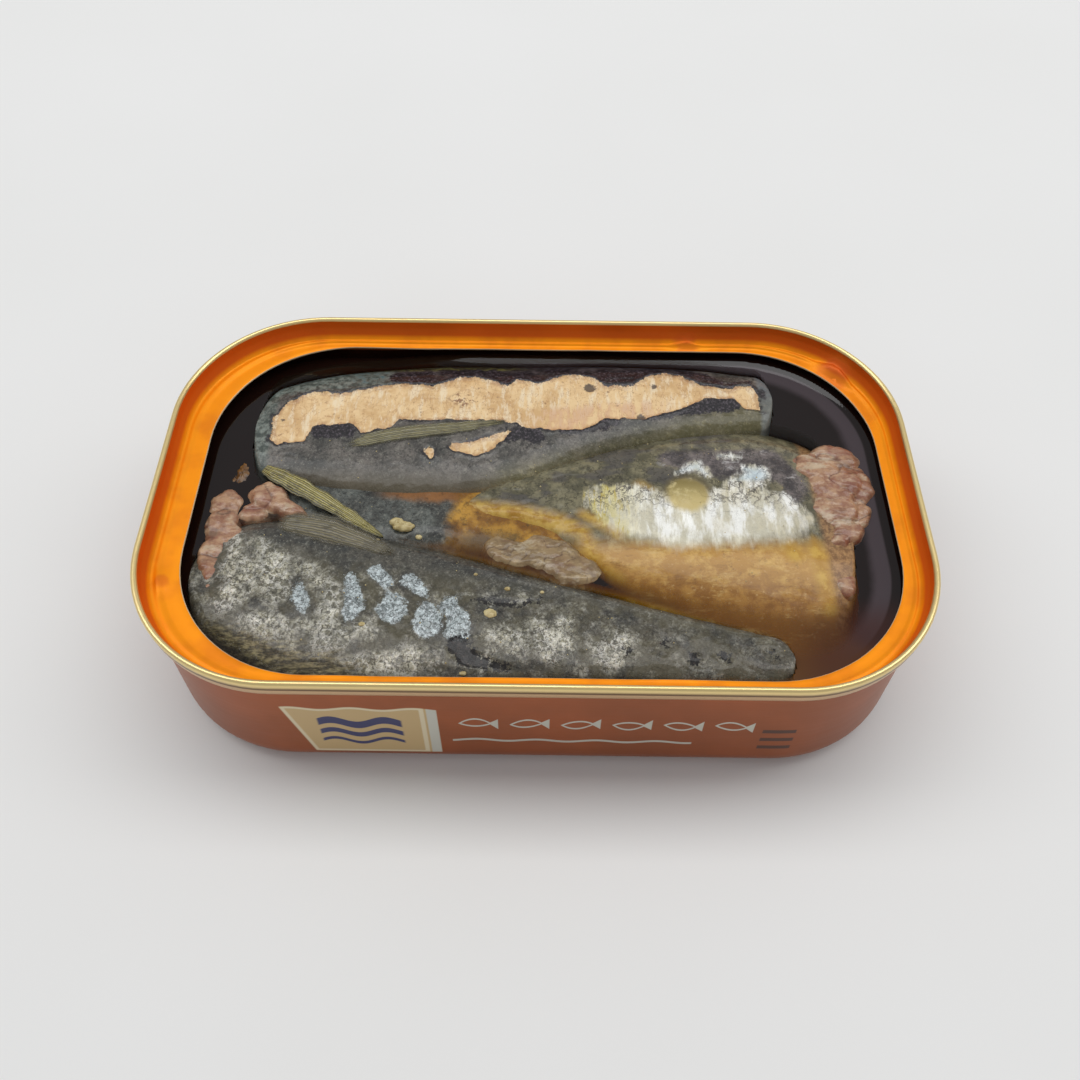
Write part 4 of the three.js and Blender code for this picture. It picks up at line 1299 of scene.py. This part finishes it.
def surface_z(x, y):
    """Height of the highest fish over one place."""
    px, py = np.array([float(x)]), np.array([float(y)])
    return max(float(fish.height(px, py)[0]) for fish in FISH.values())


# Single crumbs and paler scraps: x, y and radius
CRUMB_SPOTS = (
    (-8, -12.4, 0.28), (-3.7, -14.7, 0.42), (0.9, -15, 0.3), (-16.2, -5.8, 0.5), (-21.8, -6.4, 0.3),
)
CRUMB_SEED = 7
CRUMB_TRIES = 110
CREAM_SCRAPS = ((-5.8, -18.6, 0.85), (-22.3, -20.6, 0.45), (-9, -27, 0.5))


def make_crumbs(fish):
    pale = crumb_finish("pale_crumb", (200, 184, 134), (164, 144, 92))
    garlic = [(-18.4, -4.2, 18.6, (1.5, 0.85, 0.6)), (-19.4, -3.6, 18.7, (1, 0.75, 0.6))]
    dress(crumb_object("garlic_piece", garlic), "garlic", pale, "garlic_bit")
    brown = crumb_finish("brown_bit", (120, 84, 40), (58, 34, 20))
    chilli = [(-42.4, 5.2, 17.4, (1.2, 2.6, 1.1)), (-43.2, 4.2, 17.3, (0.9, 1.7, 0.9))]
    dress(crumb_object("brown_piece", chilli), "chilli", brown, "chilli_bit")
    random = np.random.default_rng(CRUMB_SEED)
    small = [(x, y, surface_z(x, y) + 0.02, (r, r * 0.8, r * 0.6)) for x, y, r in CRUMB_SPOTS]
    for x, y, r in CREAM_SCRAPS:
        small.append((x, y, surface_z(x, y) - 0.05, (r, r * 0.8, r * 0.35)))
    for _ in range(CRUMB_TRIES):
        x, y = random.uniform(-40, 38), random.uniform(-26, 12)
        height = surface_z(x, y)
        if height > OIL_Z - 0.3:
            r = random.uniform(0.05, 0.12)
            small.append((x, y, height + 0.02, (r, r, r * 0.7)))
    dress(crumb_object("pale_crumbs", small), "garlic", pale)


# Oil

OIL_SPACING = 0.35
OIL_HALF = (50.6, 30.3)  # half the length and half the width of the sheet
OIL_UNDER_SKIN = 0.3  # how far the sheet runs on inside the fish
OIL_UNDER_LEDGE = 2.2  # how far it runs on under the ledge


def oil_height(x, y, bed, oil):
    """The oil's surface: level, and higher where it clings to the ring and to the fish."""
    wall = np.maximum(wall_distance(x, y), 0)
    rise = oil.rise / MM * np.exp(-wall / (oil.reach / MM)) * (0.1 + 0.6 * smooth(x, -26, -8))
    cling = 0.08 * np.exp(np.clip(bed - OIL_Z, -20, 0) / 0.9)
    return OIL_Z - 0.15 + rise + cling + 0.02 * ripple(x, y, 6, 301)


def oil_finish(oil):
    """Clear amber where it is thin, near black where it is deep, with a painted greyish reflection near the
    ring.
    """
    kit = Finish("dark_oil")
    x, y, _ = kit.axes()
    depth = kit.attribute("depth")
    edge = kit.attribute("edge")
    murk = kit.noise(4, 3, 0.6)
    amber = kit.step(x + (murk - 0.5) * 6, -22, -12) * kit.step(y - x * 0.2, 9, 5)
    amber = amber * kit.step(y, -27.6, -26.4)
    amber = amber * (1 - kit.step(x, 26, 31) * kit.step(y, 0, 4))
    thin = kit.mix((34, 29, 24), oil.thin, amber)
    base = kit.blend(thin, kit.mix((30, 24, 18), oil.mid, amber), depth + (murk - 0.5) * 0.5, 0.2, 1.8)
    gap = kit.step(x, 16, 24) * kit.step(y, -12, -16) * kit.step(x + y, 24, 18)
    base.lay((120, 76, 26), gap * 0.8)
    base.lay(oil.deep, kit.step(depth + (murk - 0.5) * 0.8, 1.4, 4.5) * (1 - gap * 0.6))
    # Painted reflection: a grey-violet band a little way in from the ring, towards the right and the back.
    film_and_sheen = kit.step(edge, 0.9, 1.3) * kit.step(edge + (murk - 0.5) * 0.8, 4.2, 2.6)
    film_and_sheen = film_and_sheen * kit.step(x + y * 0.9, 14, 30)
    base.lay((74, 64, 68), film_and_sheen * 0.8)
    red_brown = kit.step(x, 32, 38) * kit.step(y, -14, -20)
    base.lay((66, 28, 18), red_brown * 0.6)
    alpha = kit.step(depth, -0.1, 1.2) * 0.45 + kit.step(depth, 0.5, 4.5) * 0.55
    return kit.close(base_color=base, roughness=0.05, alpha=alpha, ior=1.45)


def make_oil(oil):
    across, along = (np.arange(-half, half + OIL_SPACING, OIL_SPACING) for half in OIL_HALF)
    x, y = np.meshgrid(across, along, indexing="ij")
    bed = np.maximum.reduce([fish.height(x, y) for fish in FISH.values()])
    bed = np.maximum(bed, FLOOR_Z)
    z = oil_height(x, y, bed, oil)
    room = wall_distance(x, y)
    wet = (bed < z + OIL_UNDER_SKIN) & (room > -OIL_UNDER_LEDGE)
    shown = wet[:-1, :-1] & wet[1:, :-1] & wet[1:, 1:] & wet[:-1, 1:]
    piece = relief_object("oil_surface", x, y, z, shown, depth=np.clip(z - bed, 0, 12), edge=room)
    return dress(piece, "oil", oil_finish(oil), "oil")


# Stage

CAMERA_PLACE = (0.000688, -0.092188, 0.137786)
CAMERA_AIM = (-0.00111, 0.58505, -0.811)
CAMERA_ROLL = 0.01162
CAMERA_LENS = 35.64
CAMERA_SENSOR = 36
CAMERA_NEAR = 0.005
FLOOR_REACH = 900
ROOM_COLOUR = (0.93, 0.96, 1, 1)
# Each light's place, what it points at, and its size
SOFT_BOX = ((0, 0.235, 1), (0, 0.235, 0), (3.2, 0.5))
WINDOW = ((0.5, 1.2, 0.5), (0, 0, 0.02), (0.9, 0.3))
WINDOW_SHARE = 0.05  # the window's power, as a share of the soft box's


def make_camera():
    camera = bpy.data.objects.new("camera", bpy.data.cameras.new("camera"))
    camera.data.lens = CAMERA_LENS
    camera.data.sensor_width = CAMERA_SENSOR
    camera.data.clip_start = CAMERA_NEAR
    camera.location = CAMERA_PLACE
    aim = Vector(CAMERA_AIM).to_track_quat("-Z", "Y")
    camera.rotation_mode = "QUATERNION"
    camera.rotation_quaternion = aim @ Quaternion((0, 0, 1), CAMERA_ROLL)
    bpy.context.scene.collection.objects.link(camera)
    bpy.context.scene.camera = camera


def make_light(name, place, target, size, power):
    light = bpy.data.lights.new(name, "AREA")
    light.shape = "RECTANGLE"
    light.size, light.size_y = size
    light.energy = power
    made = bpy.data.objects.new(name, light)
    made.location = place
    made.rotation_mode = "QUATERNION"
    made.rotation_quaternion = (Vector(target) - Vector(place)).to_track_quat("-Z", "Y")
    bpy.context.scene.collection.objects.link(made)


def floor_finish(stage):
    kit = Finish("pale_floor")
    cloud = kit.noise(60, 2)
    base = kit.mix(stage.floor, (233, 232, 229), cloud)
    return kit.close(base_color=base, roughness=0.6, specular_ior_level=0.2)


def make_stage(stage):
    ends = (-FLOOR_REACH, FLOOR_REACH)
    floor = grid_object("floor", np.array([[(x, y, 0) for x in ends] for y in ends]))
    floor.data.materials.append(floor_finish(stage))
    world = bpy.data.worlds.new("room")
    world.use_nodes = True
    background = world.node_tree.nodes["Background"]
    background.inputs["Color"].default_value = ROOM_COLOUR
    background.inputs["Strength"].default_value = stage.sky
    bpy.context.scene.world = world
    make_light("soft_box", *SOFT_BOX, stage.soft_box)
    make_light("window", *WINDOW, stage.soft_box * WINDOW_SHARE)
    bpy.context.scene.view_settings.view_transform = "Standard"
    make_camera()


# Operators and panel


def build(context, group, maker):
    """Runs a maker with its settings. An error in it goes on up and stops the script."""
    maker(getattr(context.scene, group))
    return {"FINISHED"}


class SARDINE_OT_can(bpy.types.Operator):
    """Build the drawn can with its printed side"""

    bl_idname = "sardine.can"
    bl_label = "Can"

    def execute(self, context):
        return build(context, "tin_settings", make_can)


class SARDINE_OT_ring(bpy.types.Operator):
    """Build the seamed ring that the lid leaves"""

    bl_idname = "sardine.ring"
    bl_label = "Ring"

    def execute(self, context):
        return build(context, "tin_settings", make_ring)


class SARDINE_OT_fish(bpy.types.Operator):
    """Build the four fish with their skins"""

    bl_idname = "sardine.fish"
    bl_label = "Fish"

    def execute(self, context):
        return build(context, "fish_settings", make_fish)


class SARDINE_OT_flesh(bpy.types.Operator):
    """Build the torn flesh of the necks and the loose chunk"""

    bl_idname = "sardine.flesh"
    bl_label = "Flesh"

    def execute(self, context):
        return build(context, "fish_settings", make_flesh)


class SARDINE_OT_fins(bpy.types.Operator):
    """Build the loose fins"""

    bl_idname = "sardine.fins"
    bl_label = "Fins"

    def execute(self, context):
        return build(context, "fish_settings", make_fins)


class SARDINE_OT_crumbs(bpy.types.Operator):
    """Build the garlic, the brown bit and the crumbs"""

    bl_idname = "sardine.crumbs"
    bl_label = "Crumbs"

    def execute(self, context):
        return build(context, "fish_settings", make_crumbs)


class SARDINE_OT_oil(bpy.types.Operator):
    """Build the surface of the oil"""

    bl_idname = "sardine.oil"
    bl_label = "Oil"

    def execute(self, context):
        return build(context, "oil_settings", make_oil)


class SARDINE_OT_stage(bpy.types.Operator):
    """Build the floor, the lights and the camera"""

    bl_idname = "sardine.stage"
    bl_label = "Stage"

    def execute(self, context):
        return build(context, "stage_settings", make_stage)


OPERATORS = (
    SARDINE_OT_can,
    SARDINE_OT_ring,
    SARDINE_OT_fish,
    SARDINE_OT_flesh,
    SARDINE_OT_fins,
    SARDINE_OT_crumbs,
    SARDINE_OT_oil,
    SARDINE_OT_stage,
)


class SARDINE_PT_panel(bpy.types.Panel):
    """Lists the pieces in the order they are built"""

    bl_idname = "SARDINE_PT_panel"
    bl_label = "Sardine Tin"
    bl_space_type = "VIEW_3D"
    bl_region_type = "UI"
    bl_category = "Sardine Tin"

    def draw(self, context):
        for operator in OPERATORS:
            self.layout.operator(operator.bl_idname)


def register():
    for name, group in SETTINGS.items():
        bpy.utils.register_class(group)
        setattr(bpy.types.Scene, name, PointerProperty(type=group))
    for operator in OPERATORS:
        bpy.utils.register_class(operator)
    bpy.utils.register_class(SARDINE_PT_panel)


def unregister():
    bpy.utils.unregister_class(SARDINE_PT_panel)
    for operator in reversed(OPERATORS):
        bpy.utils.unregister_class(operator)
    for name, group in SETTINGS.items():
        delattr(bpy.types.Scene, name)
        bpy.utils.unregister_class(group)


def main():
    register()
    for operator in OPERATORS:
        group, name = operator.bl_idname.split(".")
        getattr(getattr(bpy.ops, group), name)()


if __name__ == "__main__":
    main()
